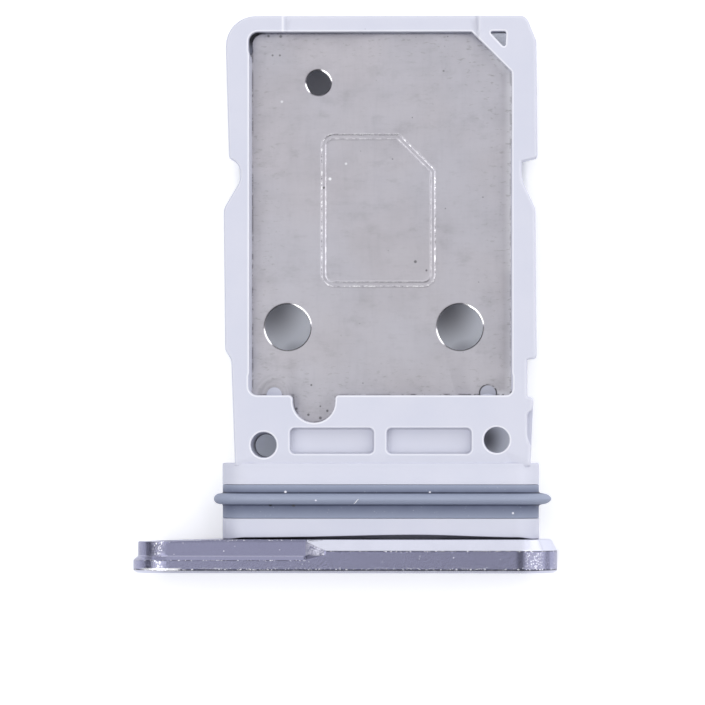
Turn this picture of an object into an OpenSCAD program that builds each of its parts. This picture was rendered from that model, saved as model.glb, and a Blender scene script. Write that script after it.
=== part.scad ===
// Dual-sided nano-card tray: metal end cap, stamped floor plate, moulded frame and silicone seal.
// The tray lies flat. Y runs from the outer face of the cap towards the tip that enters the slot,
// X runs along the cap, and Z = 0 is the middle of the sheet between the two card pockets.

/* [Card pocket] */
// Width of the card that the pocket takes
card_w = 8.8; // [8.6:0.05:9.2]
// Length of the card that the pocket takes
card_l = 12.3; // [12:0.05:12.8]
// Thickness of the card, and so the depth of each pocket
card_t = 0.7; // [0.6:0.02:0.8]
// Gap between the card and the left and right walls
card_gap = 0.09; // [0.03:0.01:0.2]
// Length of the corner cut, along each of its two walls
corner_cut = 1.38; // [1:0.02:1.6]
// How far the foot of each side wall stands in from its rim
wall_draft = 0.09; // [0.02:0.01:0.12]
// Radius of the finger notch in the pocket's end wall
notch_r = 0.73; // [0.5:0.01:0.8]

/* [Frame] */
// Distance from the cap's outer face to the frame's tip
tip_y = 19.07; // [18.6:0.01:19.6]
// Half width of the frame at its tip, from the pocket's middle line
tip_half_w = 5.34; // [5.2:0.01:5.5]
// Radius of the tip's left corner
tip_corner_r = 1.03; // [0.5:0.01:1.1]
// How far the middle of the tip bar lies under its ends
tip_bar_drop = 0.09; // [0.03:0.01:0.2]
// Radius that rounds the frame's long outer edges
edge_r = 0.12; // [0.05:0.01:0.2]
// Depth of the two shallow recesses on each side
recess_depth = 0.3; // [0.1:0.01:0.45]
// Radius of the two round holes through the frame
frame_hole_r = 0.44; // [0.3:0.01:0.5]

/* [Plug and seal] */
// Width of the plug that fills the slot
plug_w = 10.86; // [10.6:0.01:11.2]
// Height of the plug
plug_h = 1.74; // [1.6:0.02:1.9]
// Where the plug ends and the frame starts, from the cap's outer face
plug_end = 3.76; // [3.6:0.01:4]
// Length of the seal's band along Y
seal_l = 1.17; // [0.9:0.01:1.3]
// Thickness of the seal's band in its groove
seal_t = 0.24; // [0.15:0.01:0.3]
// Thickness of the raised lip along Y
lip_t = 0.38; // [0.3:0.01:0.5]
// How far the lip stands out from the band
lip_h = 0.36; // [0.2:0.01:0.45]

/* [End cap] */
// Length of the cap, along X
cap_l = 14.56; // [14.2:0.01:15]
// Height of the cap, which is also the diameter of its round ends
cap_h = 2.64; // [2.5:0.02:2.8]
// Depth of the cap, along Y
cap_d = 1.15; // [1.1:0.01:1.3]
// Width of the polished band on the back edge, along Y
back_band = 0.39; // [0.2:0.01:0.5]
// Drop of that band from the side of the cap to its back
back_drop = 0.2; // [0.1:0.01:0.25]
// Chamfer round the outer face
face_chamfer = 0.09; // [0.04:0.01:0.15]
// Step down of the rebate round the pin-hole end
rebate = 0.165; // [0.1:0.005:0.19]
// Radius of the pin hole
pin_hole_r = 0.55; // [0.4:0.01:0.65]
// Radius of the countersink at the mouth of the pin hole
pin_sink_r = 0.75; // [0.7:0.01:0.85]

/* [Floor plate] */
// Thickness of the stamped sheet
plate_t = 0.2; // [0.15:0.01:0.25]
// How far the sheet reaches into the moulding round the pocket
plate_grip = 0.3; // [0.2:0.01:0.35]
// Radius of the two large punched holes
big_hole_r = 0.8; // [0.6:0.01:0.9]
// Radius of the small punched hole
small_hole_r = 0.46; // [0.3:0.01:0.5]
// Width of the pressed card outline
groove_w = 0.17; // [0.1:0.01:0.2]
// Depth of the pressed card outline
groove_depth = 0.04; // [0.02:0.005:0.06]

/* [Hidden] */

$fn = 96;
// Overrun of a cutter past the face that it cuts through
over = 0.5;
// Degrees that one flat of a rounded corner turns through
arc_step = 15;

// Pocket. Its middle line is off the cap's, because the pin hole sits at the cap's left.
mid_x = 1.2;
frame_h = 2 * card_t + plate_t;
pocket_w = card_w + 2 * card_gap;
pocket_tip = 18.52;
pocket_root = pocket_tip - card_l - 0.14;
left_wall = mid_x - pocket_w / 2;
right_wall = mid_x + pocket_w / 2;
// Small pockets behind the card's corners, so that a sharp corner never binds
corner_relief = 0.05;
corner_relief_l = 0.78;
notch_x = -1.08;
notch_end = 5.14;

// Frame sides, from the tip to the root
frame_left = mid_x - tip_half_w;
frame_right = mid_x + tip_half_w;
side_notch_y = 14.2;
left_notch_x = -3.62;
right_notch_x = 6.03;
notch_ramp_y = 12.47;
flank_end_y = 7.3;
left_root_x = -3.78;
right_waist_x = 6.22;
right_root_x = 6.33;
bump_x = 6.43;
bump_y = 6.0;

// Tip bar between its two raised ends
bar_left = -2.13;
bar_right = 4.55;
bar_ramp = 0.05;

// Recesses and holes between the pocket and the plug
recess_y = [4.08, 4.96];
recess_x = [[-1.9, 0.97], [1.41, 4.31]];
recess_r = 0.17;
left_hole = [-2.8, 4.38];
right_hole = [5.17, 4.55];
pin_r = 0.27;
pin_spots = [[-2.43, 6.09], [4.9, 6.15]];
pin_proud = 0.02;

// Plug and seal
plug_x = 1.19;
plug_r = plug_h / 2;
plug_bow = 0.08;
seal_y = 1.86;
lip_y = 2.53;
lip_shift = 0.06;

// Cap
cap_r = cap_h / 2;
cap_mid = -0.03;
pin_x = cap_mid - cap_l / 2 + cap_r;
pin_sink_depth = 0.16;
rebate_y = 0.5;
run_out = [-1.37, -0.64];
run_out_y = 0.62;
tang_x = [-1.7, 4.1];
tang_depth = 0.55;

// Plate
big_holes = [[-1.97, 8.39], [3.94, 8.39]];
small_hole = [-0.91, 16.8];
plate_tip = 18.46;
plate_corner_r = 0.36;
hidden_root = 5.0;
icon_x = [-0.84, 3.09];
icon_y = [9.78, 15.01];
icon_cut = 1.24;
icon_r = 0.42;

function unit(v) = v / norm(v);

// Arc that rounds corner b between points a and c with radius r, as a list of points
function corner_arc(a, b, c, r) =
    let (
        u = unit(a - b),
        v = unit(c - b),
        half = acos(u * v) / 2,
        centre = b + unit(u + v) * r / sin(half),
        first = b + u * r / tan(half) - centre,
        last = b + v * r / tan(half) - centre,
        start = atan2(first.y, first.x),
        raw = atan2(last.y, last.x) - start,
        sweep = raw > 180 ? raw - 360 : raw < -180 ? raw + 360 : raw,
        steps = max(1, ceil(abs(sweep) / arc_step))
    )
    [for (i = [0:steps]) centre + r * [cos(start + sweep * i / steps), sin(start + sweep * i / steps)]];

// Closed outline through corners [x, y, radius], with each corner rounded by its own radius
function rounded(corners) =
    let (n = len(corners))
    [for (i = [0:n - 1])
        let (
            a = corners[(i + n - 1) % n],
            b = corners[i],
            c = corners[(i + 1) % n]
        )
        each b[2] == 0
            ? [[b.x, b.y]]
            : corner_arc([a.x, a.y], [b.x, b.y], [c.x, c.y], b[2])];

// Outline of a rectangle between two corners, rounded by r
function rounded_box(low, high, r) =
    rounded([[low.x, low.y, r], [high.x, low.y, r], [high.x, high.y, r], [low.x, high.y, r]]);

// Long round: a profile of [radius, y] points carried round an oval of half length half_l
module oval_sweep(profile, half_l, centre_x) {
    mirrored = [for (i = [len(profile) - 1:-1:0]) [-profile[i].x, profile[i].y]];
    translate([centre_x, 0, 0]) {
        for (side = [-1, 1])
            translate([side * half_l, 0, 0])
                rotate([90, 0, 0])
                    mirror([0, 0, 1])
                        rotate_extrude()
                            polygon(profile);
        rotate([0, 90, 0])
            mirror([1, 0, 0])
                translate([0, 0, -half_l])
                    linear_extrude(2 * half_l)
                        polygon(concat(profile, mirrored));
    }
}

// Outline of one card pocket seen from its own side, with the finger notch at its root
function pocket_outline() = rounded([
    [left_wall - corner_relief, pocket_tip, 0.24],
    [left_wall - corner_relief, pocket_tip - corner_relief_l, 0.05],
    [left_wall, pocket_tip - corner_relief_l - corner_relief, 0.05],
    [left_wall, pocket_root + corner_relief_l + corner_relief, 0.05],
    [left_wall - corner_relief, pocket_root + corner_relief_l, 0.05],
    [left_wall - corner_relief, pocket_root, 0.3],
    [notch_x - notch_r, pocket_root, 0.15],
    [notch_x - notch_r, notch_end, notch_r - 0.01],
    [notch_x + notch_r, notch_end, notch_r - 0.01],
    [notch_x + notch_r, pocket_root, 0.13],
    [right_wall + corner_relief, pocket_root, 0.23],
    [right_wall + corner_relief, pocket_root + corner_relief_l, 0.05],
    [right_wall, pocket_root + corner_relief_l + corner_relief, 0.05],
    [right_wall, pocket_tip - corner_cut, 0.15],
    [right_wall - corner_cut, pocket_tip, 0.05]
]);

// Outline of the frame seen from above, without the plug
function frame_outline() = rounded([
    [frame_left, tip_y, tip_corner_r],
    [frame_left + 0.14, side_notch_y, 0.06],
    [left_notch_x, side_notch_y - 0.23, 0.5],
    [left_notch_x, side_notch_y - 0.79, 0.55],
    [frame_left - 0.04, notch_ramp_y, 0.5],
    [frame_left + 0.01, flank_end_y + 0.33, 0.2],
    [frame_left + 0.22, flank_end_y - 0.03, 0.3],
    [left_root_x, plug_end, 0],
    [left_root_x, plug_end - over, 0],
    [right_root_x, plug_end - over, 0],
    [right_root_x, plug_end, 0],
    [bump_x, bump_y - 0.02, 0.13],
    [right_waist_x, bump_y + 0.05, 0.05],
    [right_waist_x, flank_end_y, 0.05],
    [frame_right, flank_end_y + 0.02, 0.14],
    [frame_right - 0.04, notch_ramp_y, 0.5],
    [right_notch_x, side_notch_y - 0.72, 0.8],
    [right_notch_x, side_notch_y - 0.13, 0.04],
    [frame_right + 0.03, side_notch_y, 0.06],
    [frame_right - 0.01, tip_y - 0.85, 0.15],
    [frame_right - 0.35, tip_y, 0.3]
]);

// Things that both faces of the frame have: side = 1 is the upper face, side = -1 the lower one.
// The lower face is the upper one turned over about the pocket's middle line.
module on_face(side) {
    if (side > 0) {
        children();
    } else {
        translate([2 * mid_x, 0, 0])
            rotate([0, 180, 0])
                children();
    }
}

// Sheet outline with the parts that the moulding grips
function plate_outline() = rounded([
    [left_wall + wall_draft, plate_tip, plate_corner_r],
    [left_wall + wall_draft, plate_tip - 0.7, 0],
    [left_wall - plate_grip, plate_tip - 0.7, 0.1],
    [left_wall - plate_grip, hidden_root, 0.3],
    [tang_x[0], hidden_root, 0],
    [tang_x[0], tang_depth, 0],
    [tang_x[1], tang_depth, 0],
    [tang_x[1], hidden_root, 0],
    [right_wall + plate_grip, hidden_root, 0.3],
    [right_wall + plate_grip, pocket_tip - corner_cut, 0.1],
    [right_wall - corner_cut + 0.1, plate_tip, 0.1]
]);

module plate_blank() {
    translate([0, 0, -plate_t / 2])
        linear_extrude(plate_t)
            difference() {
                polygon(plate_outline());
                for (spot = pin_spots)
                    translate(spot)
                        circle(pin_r);
            }
}

// Outline of a card, pressed into the sheet as a groove of even width
module card_icon(inset) {
    polygon(rounded([
        [icon_x[0] + inset, icon_y[0] + inset, icon_r - inset],
        [icon_x[1] - inset, icon_y[0] + inset, icon_r - inset],
        [icon_x[1] - inset, icon_y[1] - icon_cut - inset * tan(22.5), 0.12],
        [icon_x[1] - icon_cut - inset * tan(22.5), icon_y[1] - inset, 0.12],
        [icon_x[0] + inset, icon_y[1] - inset, icon_r - inset]
    ]));
}

// Cap: a long round with a chamfered face, a rebated pin-hole end and a polished back edge
module end_cap() {
    half_l = cap_l / 2 - cap_r;
    low_r = cap_r - rebate;
    flange = [[0, 0], [cap_r - face_chamfer, 0], [cap_r, face_chamfer], [cap_r, rebate_y], [0, rebate_y]];
    core = [[0, rebate_y], [low_r, rebate_y], [low_r, cap_d], [0, cap_d]];
    full = [[0, 0], [cap_r - face_chamfer, 0], [cap_r, face_chamfer], [cap_r, cap_d - back_band],
        [cap_r - back_drop, cap_d], [0, cap_d]];
    color("#8a889e")
        difference() {
            union() {
                oval_sweep(flange, half_l, cap_mid);
                oval_sweep(core, half_l, cap_mid);
                intersection() {
                    oval_sweep(full, half_l, cap_mid);
                    translate([0, 0, -cap_h])
                        linear_extrude(2 * cap_h)
                            polygon([[run_out[0], cap_d + over], [run_out[0], cap_d],
                                [run_out[1], run_out_y], [run_out[0] - 0.05, rebate_y],
                                [run_out[0] - 0.05, -over], [cap_l, -over], [cap_l, cap_d + over]]);
                }
                rebate_run_out();
            }
            pin_hole();
            tang_slot();
        }
}

// The rebate's pointed end, where the cutter rises out of the metal, on both broad sides
module rebate_run_out() {
    low = cap_r - rebate;
    for (side = [-1, 1])
        intersection() {
            translate([0, cap_d, 0])
                rotate([90, 0, 0])
                    linear_extrude(cap_d - rebate_y)
                        polygon([[run_out[0], 0], [run_out[1], 0],
                            [run_out[1], side * cap_r], [run_out[0], side * low]]);
            translate([0, 0, -cap_h])
                linear_extrude(2 * cap_h)
                    polygon([[run_out[0], cap_d], [run_out[0], rebate_y], [run_out[1], run_out_y]]);
        }
}

// Countersunk hole that the eject pin goes through
module pin_hole() {
    translate([pin_x, 0, 0])
        rotate([-90, 0, 0]) {
            translate([0, 0, -over])
                cylinder(h = cap_d + 2 * over, r = pin_hole_r);
            translate([0, 0, -0.01])
                cylinder(h = pin_sink_depth + 0.01, r1 = pin_sink_r, r2 = pin_hole_r);
        }
}

// Blind slot in the cap's back that holds the sheet's tang
module tang_slot() {
    translate([tang_x[0], tang_depth, -plate_t / 2])
        cube([tang_x[1] - tang_x[0], cap_d, plate_t]);
}

// Moulded frame: card pockets on both faces, side detents, and the plug that carries the seal
module tray_frame() {
    color("#e4e5f3")
        difference() {
            union() {
                difference() {
                    frame_body();
                    for (side = [-1, 1])
                        on_face(side)
                            face_cuts();
                    through_cuts();
                }
                for (side = [-1, 1])
                    on_face(side)
                        wall_feet();
                plug();
                moulded_pins();
            }
            plate_blank();
        }
}

// Frame outline in plan, and a section with rounded long edges carried along Y
module frame_body() {
    section = rounded_box([frame_left - 0.04, -frame_h / 2], [frame_right + 0.03, frame_h / 2], edge_r);
    intersection() {
        translate([0, 0, -frame_h])
            linear_extrude(2 * frame_h)
                polygon(frame_outline());
        translate([0, tip_y + over, 0])
            rotate([90, 0, 0])
                linear_extrude(tip_y + 2 * over)
                    polygon(section);
        tip_section();
    }
}

// Side view of the frame, with its tip rounded so that it finds the slot
module tip_section() {
    outline = rounded([[0, -frame_h / 2, 0], [tip_y, -frame_h / 2, edge_r],
        [tip_y, frame_h / 2, edge_r], [0, frame_h / 2, 0]]);
    rotate([90, 0, 90])
        translate([0, 0, frame_left - over])
            linear_extrude(2 * tip_half_w + 2 * over)
                polygon(outline);
}

// Cuts in one face: the card pocket, the lowered middle of the tip bar, and two shallow recesses
module face_cuts() {
    top = frame_h / 2;
    translate([0, 0, plate_t / 2])
        linear_extrude(frame_h)
            polygon(pocket_outline());
    translate([0, tip_y + over, 0])
        rotate([90, 0, 0])
            linear_extrude(tip_y - pocket_tip + over + 0.1)
                polygon([[bar_left, top], [bar_left + bar_ramp, top - tip_bar_drop],
                    [bar_right - bar_ramp, top - tip_bar_drop], [bar_right, top],
                    [bar_right, top + over], [bar_left, top + over]]);
    for (span = recess_x)
        translate([0, 0, top - recess_depth])
            linear_extrude(frame_h)
                polygon(rounded_box([span[0], recess_y[0]], [span[1], recess_y[1]], recess_r));
}

// Openings that go right through the frame, and the scooped ledge on its right flank
module through_cuts() {
    translate([0, 0, -frame_h])
        linear_extrude(2 * frame_h)
            polygon(rounded([[4.91, 18.53, 0.05], [5.5, 18.53, 0.07], [5.47, 17.94, 0.06]]));
    translate([0, 0, -plate_t / 2])
        linear_extrude(plate_t)
            polygon(pocket_outline());
    for (spot = [left_hole, right_hole])
        translate([spot.x, spot.y, -frame_h])
            cylinder(h = 2 * frame_h, r = frame_hole_r);
    translate([0, 0, 0.35])
        linear_extrude(frame_h)
            polygon(rounded([[right_waist_x - 0.02, bump_y - 0.36, 0.1],
                [right_waist_x - 0.02, 4.55, 0.4], [right_root_x + 0.1, 4.1, 0],
                [bump_x + over, 4.1, 0], [bump_x + over, bump_y - 0.36, 0]]));
}

// Sloped feet of the two long pocket walls, which centre the card as it drops in
module wall_feet() {
    low = plate_t / 2;
    high = frame_h / 2 - edge_r;
    foot_root = pocket_root + 0.2;
    translate([0, plate_tip - 0.72, 0])
        rotate([90, 0, 0])
            linear_extrude(plate_tip - 0.72 - foot_root)
                polygon([[left_wall - 0.08, low], [left_wall + wall_draft, low],
                    [left_wall, high], [left_wall - 0.08, high]]);
    translate([0, side_notch_y + 0.6, 0])
        rotate([90, 0, 0])
            linear_extrude(side_notch_y + 0.6 - foot_root)
                polygon([[right_wall + 0.08, low], [right_wall - wall_draft, low],
                    [right_wall, high], [right_wall + 0.08, high]]);
}

// Plug: an oval block with a groove for the seal and a slightly hollow face towards the cap
module plug() {
    half_l = plug_w / 2 - plug_r;
    groove_r = plug_r - seal_t;
    profile = [[0, cap_d], [plug_r, cap_d], [plug_r, seal_y], [groove_r, seal_y],
        [groove_r, seal_y + seal_l], [plug_r, seal_y + seal_l], [plug_r, plug_end], [0, plug_end]];
    bow_half = plug_w / 2 - 0.4;
    bow_r = (bow_half * bow_half + plug_bow * plug_bow) / (2 * plug_bow);
    difference() {
        oval_sweep(profile, half_l, plug_x);
        translate([plug_x + 0.3, cap_d + plug_bow - bow_r, -cap_h])
            cylinder(h = 2 * cap_h, r = bow_r, $fn = 720);
    }
}

// Plugs of moulding that fill two holes in the sheet and tie both faces together
module moulded_pins() {
    for (spot = pin_spots)
        translate([spot.x, spot.y, -plate_t / 2 - pin_proud])
            cylinder(h = plate_t + 2 * pin_proud, r = pin_r);
}

// Stamped sheet: floor of both pockets, with punched holes, a pressed card outline and a tang
module floor_plate() {
    color("#b4b4ba")
        difference() {
            plate_blank();
            for (spot = big_holes)
                translate([spot.x, spot.y, -plate_t])
                    cylinder(h = 2 * plate_t, r = big_hole_r);
            translate([small_hole.x, small_hole.y, -plate_t])
                cylinder(h = 2 * plate_t, r = small_hole_r);
            translate([0, 0, plate_t / 2 - groove_depth])
                linear_extrude(plate_t)
                    difference() {
                        card_icon(0);
                        card_icon(groove_w);
                    }
        }
}

// Seal: a band in the plug's groove with one rounded lip that wipes the slot
module seal() {
    half_l = plug_w / 2 - plug_r;
    inner_r = plug_r - seal_t;
    lip_r = lip_t / 2;
    tip_r = plug_r + lip_h - lip_r;
    band = [[0, seal_y], [plug_r, seal_y], [plug_r, seal_y + seal_l], [0, seal_y + seal_l]];
    bore = [[0, seal_y - over], [inner_r, seal_y - over],
        [inner_r, seal_y + seal_l + over], [0, seal_y + seal_l + over]];
    lip = concat(
        [[0, lip_y - lip_r]],
        [for (turn = [-90:arc_step:90]) [tip_r + lip_r * cos(turn), lip_y + lip_r * sin(turn)]],
        [[0, lip_y + lip_r]]
    );
    color("#8f99ad")
        difference() {
            union() {
                oval_sweep(band, half_l, plug_x);
                oval_sweep(lip, half_l, plug_x + lip_shift);
            }
            oval_sweep(bore, half_l, plug_x);
        }
}

end_cap();
tray_frame();
floor_plate();
seal();
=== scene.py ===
"""Looks of a two-sided card tray: moulded frame, stamped sheet, anodised end cap and silicone seal.

Shapes are worked out in millimetres and written to the meshes in metres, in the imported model's own
frame: Y runs from the cap's outer face to the tip, X along the cap, Z out of the upper card pocket.
"""

import math

import bmesh
import bpy
import numpy as np
from bpy.props import FloatProperty, FloatVectorProperty, PointerProperty
from mathutils import Matrix, Vector
from mathutils.geometry import delaunay_2d_cdt


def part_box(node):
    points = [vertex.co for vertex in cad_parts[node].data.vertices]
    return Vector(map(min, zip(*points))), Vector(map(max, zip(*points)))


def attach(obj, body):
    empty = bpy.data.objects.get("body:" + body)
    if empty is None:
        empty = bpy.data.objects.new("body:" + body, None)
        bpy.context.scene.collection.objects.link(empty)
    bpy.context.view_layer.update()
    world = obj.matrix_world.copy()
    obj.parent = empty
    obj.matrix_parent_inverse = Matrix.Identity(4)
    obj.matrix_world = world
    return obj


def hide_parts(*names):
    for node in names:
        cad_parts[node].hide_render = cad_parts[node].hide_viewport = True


bl_info = {
    "name": "Card tray",
    "version": (1, 0, 0),
    "blender": (4, 5, 0),
    "location": "View3D > Sidebar > Card tray",
    "description": "Moulded frame, stamped sheet, anodised cap and lipped seal of a card tray",
    "category": "Add Mesh",
}

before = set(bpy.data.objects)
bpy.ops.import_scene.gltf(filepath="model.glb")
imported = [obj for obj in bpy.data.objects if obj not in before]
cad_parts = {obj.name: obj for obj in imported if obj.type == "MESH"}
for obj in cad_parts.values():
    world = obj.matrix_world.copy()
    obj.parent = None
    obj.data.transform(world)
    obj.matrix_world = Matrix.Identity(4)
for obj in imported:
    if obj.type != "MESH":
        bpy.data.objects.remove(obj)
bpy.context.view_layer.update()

# One millimetre in metres
MM = 0.001


def node_box(node):
    """Lowest and highest corner of a CAD node, in millimetres."""
    low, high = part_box(node)
    return np.array(low) / MM, np.array(high) / MM


CAP_LOW, CAP_HIGH = node_box("end_cap")
FRAME_HIGH = node_box("tray_frame")[1]
SHEET_LOW, SHEET_HIGH = node_box("floor_plate")
SEAL_HIGH = node_box("seal")[1]

# Pocket, measured from its middle line
MID_X = 1.2
LEFT_WALL = -3.29
RIGHT_WALL = 5.69
POCKET_TIP = 18.52
POCKET_ROOT = 6.08
RELIEF = 0.03
RELIEF_END = 0.75
CORNER_CUT = 1.38
NOTCH_X = -1.08
NOTCH_R = 0.73
NOTCH_END = 5.14
# Foot of the sloped pocket walls: how far it stands in, its top, and where it starts and ends along Y
FOOT_IN = {-1: 0.065, 1: 0.03}
FOOT_TOP = 0.68
FOOT_ROOT = 6.25
FOOT_TIP = {-1: 17.74, 1: 14.8}

# Frame
FRAME_TOP = 0.8
PARTING = -0.09
WALL_LEAN = 0.012
TIP_Y = FRAME_HIGH[1]
FRAME_LEFT = MID_X - 5.34
FRAME_RIGHT = MID_X + 5.34
SIDE_NOTCH_Y = 14.2
RAMP_Y = 12.47
FLANK_END_Y = 7.3
WAIST_X = 6.22
BUMP_X = 6.43
BUMP_Y = 6.0
ROOT_Y = 3.3
BAR = (-2.15, 4.59)
BAR_RAMP = 0.13
SHELF_Z = 0.42
RECESSES = ((-1.9, 0.97), (1.41, 4.31))
RECESS_Y = (4.08, 4.96)
RECESS_R = 0.17
ROUND_HOLES = ((-2.8, 4.38), (5.17, 4.55))
ROUND_HOLE_R = 0.44
PIN_SPOTS = ((-2.46, 6.09), (4.87, 6.15))
PIN_R = 0.27
# Painted shade on the faces of each pin, as a mark below 0
PIN_SHADE = (-0.2, -0.36)

# Plug and seal, both long rounds about the same middle
PLUG_X = 1.19
PLUG_R = FRAME_HIGH[2]
PLUG_HALF = 10.86 / 2 - PLUG_R
PLUG_END = 3.76
SEAL_T = 0.24
LIP_SHIFT = 0.06

# Cap: a long round whose left end is rebated round the pin hole
CAP_R = CAP_HIGH[2]
CAP_D = CAP_HIGH[1]
CAP_X = (CAP_LOW[0] + CAP_HIGH[0]) / 2
CAP_HALF = (CAP_HIGH[0] - CAP_LOW[0]) / 2 - CAP_R
BAND = 0.39
REBATE_Y = (0.43, 0.57)
CAP_CHAMFER = 0.09
RUN_OUT = (-1.37, -0.64)

# Sheet
SHEET_T = SHEET_HIGH[2]
BIG_HOLES = ((-2.0, 8.415), (3.91, 8.415))
BIG_HOLE_R = 0.82
SMALL_HOLE = (-0.94, 16.8)
SMALL_HOLE_R = 0.46
SHEET_TIP = 18.48
GRIP = 0.3
TANG_X = (-1.7, 4.1)
ICON_X = (-0.845, 3.07)
ICON_Y = (9.805, 15.035)
ICON_CUT = 1.24
ICON_R = 0.42
# Single specks on the sheet: x, y, radius and how light each is
SHEET_SPECKS = (
    (-0.55, 13.5, 0.07, 1.0), (0.0, 14.02, 0.06, 0.8), (2.38, 10.66, 0.07, 0.1), (2.76, 10.36, 0.05, 0.1),
    (-0.76, 13.2, 0.06, 0.1), (-2.66, 18.4, 0.06, 0.12), (-2.24, 18.39, 0.07, 0.12),
    (-2.52, 17.74, 0.05, 0.15), (-2.27, 17.74, 0.05, 0.15), (-1.19, 6.43, 0.05, 0.12),
    (-1.7, 5.62, 0.06, 0.08), (-1.29, 5.41, 0.06, 0.08), (-0.88, 5.3, 0.07, 0.08),
    (-0.64, 5.545, 0.06, 0.08), (-0.88, 5.7, 0.04, 0.1), (-2.2, 16.15, 0.06, 0.75), (3.35, 17.2, 0.05, 0.2),
)
# Single specks on the seal: place, radius and how light each is
SEAL_SPECKS = (
    (-2.05, 2.77, 0.86, 0.06, 0.85), (-1.0, 2.48, 1.23, 0.05, 0.85), (2.89, 2.76, 0.86, 0.05, 0.8),
    (5.73, 2.05, 0.86, 0.05, 0.8), (-2.56, 2.33, 0.9, 0.08, 0.01), (-1.77, 2.32, 0.9, 0.09, 0.06),
)
# Lint on the seal: points of each fibre, and its thickness
FIBRES = (
    (((0.29, 2.36, 1.19), (0.36, 2.42, 1.25), (0.42, 2.5, 1.27), (0.47, 2.53, 1.25)), 0.03),
)
# Soft shade on the floor under the holes: place, inner and outer radius, strength
FLOOR_SHADES = (
    (SMALL_HOLE, (1.0, 2.1), 0.93),
    ((-2.65, 9.0), (0.2, 1.45), 0.85), ((3.3, 9.0), (0.2, 1.5), 0.95),
    ((-1.8, 7.5), (0.1, 0.6), 0.4), ((4.0, 7.5), (0.1, 0.7), 0.5),
    ((-3.25, 4.45), (0.1, 0.5), 0.1), ((4.75, 4.55), (0.1, 0.75), 1.0),
)

# Corners of each outline as (x, y, radius), anticlockwise
POCKET_CORNERS = (
    (LEFT_WALL - RELIEF, POCKET_TIP, 0.33),
    (LEFT_WALL - RELIEF, POCKET_TIP - RELIEF_END + 0.1, 0.1),
    (LEFT_WALL, POCKET_TIP - RELIEF_END, 0.1),
    (LEFT_WALL, POCKET_ROOT + RELIEF_END, 0.1),
    (LEFT_WALL - RELIEF, POCKET_ROOT + RELIEF_END - 0.1, 0.1),
    (LEFT_WALL - RELIEF, POCKET_ROOT, 0.3),
    (NOTCH_X - NOTCH_R, POCKET_ROOT, 0.15),
    (NOTCH_X - NOTCH_R, NOTCH_END, NOTCH_R - 0.01),
    (NOTCH_X + NOTCH_R, NOTCH_END, NOTCH_R - 0.01),
    (NOTCH_X + NOTCH_R, POCKET_ROOT, 0.13),
    (RIGHT_WALL + RELIEF, POCKET_ROOT, 0.23),
    (RIGHT_WALL + RELIEF, POCKET_ROOT + RELIEF_END - 0.1, 0.1),
    (RIGHT_WALL, POCKET_ROOT + RELIEF_END, 0.1),
    (RIGHT_WALL, POCKET_TIP - CORNER_CUT, 0.15),
    (RIGHT_WALL - CORNER_CUT, POCKET_TIP, 0.05),
)
FRAME_CORNERS = (
    (FRAME_LEFT, TIP_Y, 1.03),
    (FRAME_LEFT + 0.14, SIDE_NOTCH_Y, 0.13),
    (-3.62, SIDE_NOTCH_Y - 0.23, 0.5),
    (-3.62, SIDE_NOTCH_Y - 0.79, 0.55),
    (FRAME_LEFT - 0.04, RAMP_Y, 0.5),
    (FRAME_LEFT + 0.01, FLANK_END_Y + 0.33, 0.2),
    (FRAME_LEFT + 0.22, FLANK_END_Y - 0.03, 0.3),
    (-3.78, ROOT_Y, 0.15),
    (6.33, ROOT_Y, 0.15),
    (6.33, PLUG_END, 0.15),
    (BUMP_X, BUMP_Y - 0.02, 0.13),
    (WAIST_X, BUMP_Y + 0.05, 0.05),
    (WAIST_X, FLANK_END_Y, 0.05),
    (FRAME_RIGHT, FLANK_END_Y + 0.02, 0.14),
    (FRAME_RIGHT - 0.04, RAMP_Y, 0.5),
    (6.03, SIDE_NOTCH_Y - 0.72, 0.8),
    (6.03, SIDE_NOTCH_Y - 0.13, 0.04),
    (FRAME_RIGHT + 0.03, SIDE_NOTCH_Y, 0.13),
    (FRAME_RIGHT - 0.01, TIP_Y - 0.85, 0.15),
    (FRAME_RIGHT - 0.35, TIP_Y, 0.3),
)
WEB_HOLE_CORNERS = ((5.47, 17.94, 0.06), (5.5, 18.53, 0.07), (4.91, 18.53, 0.05))
SHEET_CORNERS = (
    (LEFT_WALL + FOOT_IN[-1], SHEET_TIP, 0.36),
    (LEFT_WALL + FOOT_IN[-1], SHEET_TIP - 0.7, 0.05),
    (LEFT_WALL - GRIP, SHEET_TIP - 0.7, 0.1),
    (LEFT_WALL - GRIP, 5.0, 0.3),
    (TANG_X[0], 5.0, 0.05),
    (TANG_X[0], SHEET_LOW[1], 0.05),
    (TANG_X[1], SHEET_LOW[1], 0.05),
    (TANG_X[1], 5.0, 0.05),
    (RIGHT_WALL + GRIP, 5.0, 0.3),
    (RIGHT_WALL + GRIP, POCKET_TIP - CORNER_CUT, 0.1),
    (RIGHT_WALL - CORNER_CUT + 0.1, SHEET_TIP, 0.1),
)

# Steps of one rounded corner, of a rim's quarter round and of a hole's circle
ARC_STEPS = 8
RIM_STEPS = 5
HOLE_STEPS = 72
# Longest stretch between two points of an outline, and the distance that counts as one point
SPACING = 0.08
MERGE = 0.0002


def length_property(name, description, size, low, high):
    """Property for a length, given here in millimetres and kept in metres."""
    return FloatProperty(name=name, description=description, default=size * MM, min=low * MM,
                         max=high * MM, precision=6, subtype="DISTANCE", unit="LENGTH")


def colour_property(name, description, default):
    """Property for a colour."""
    return FloatVectorProperty(name=name, description=description, default=default, size=3,
                               min=0, max=1, subtype="COLOR")


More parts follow.
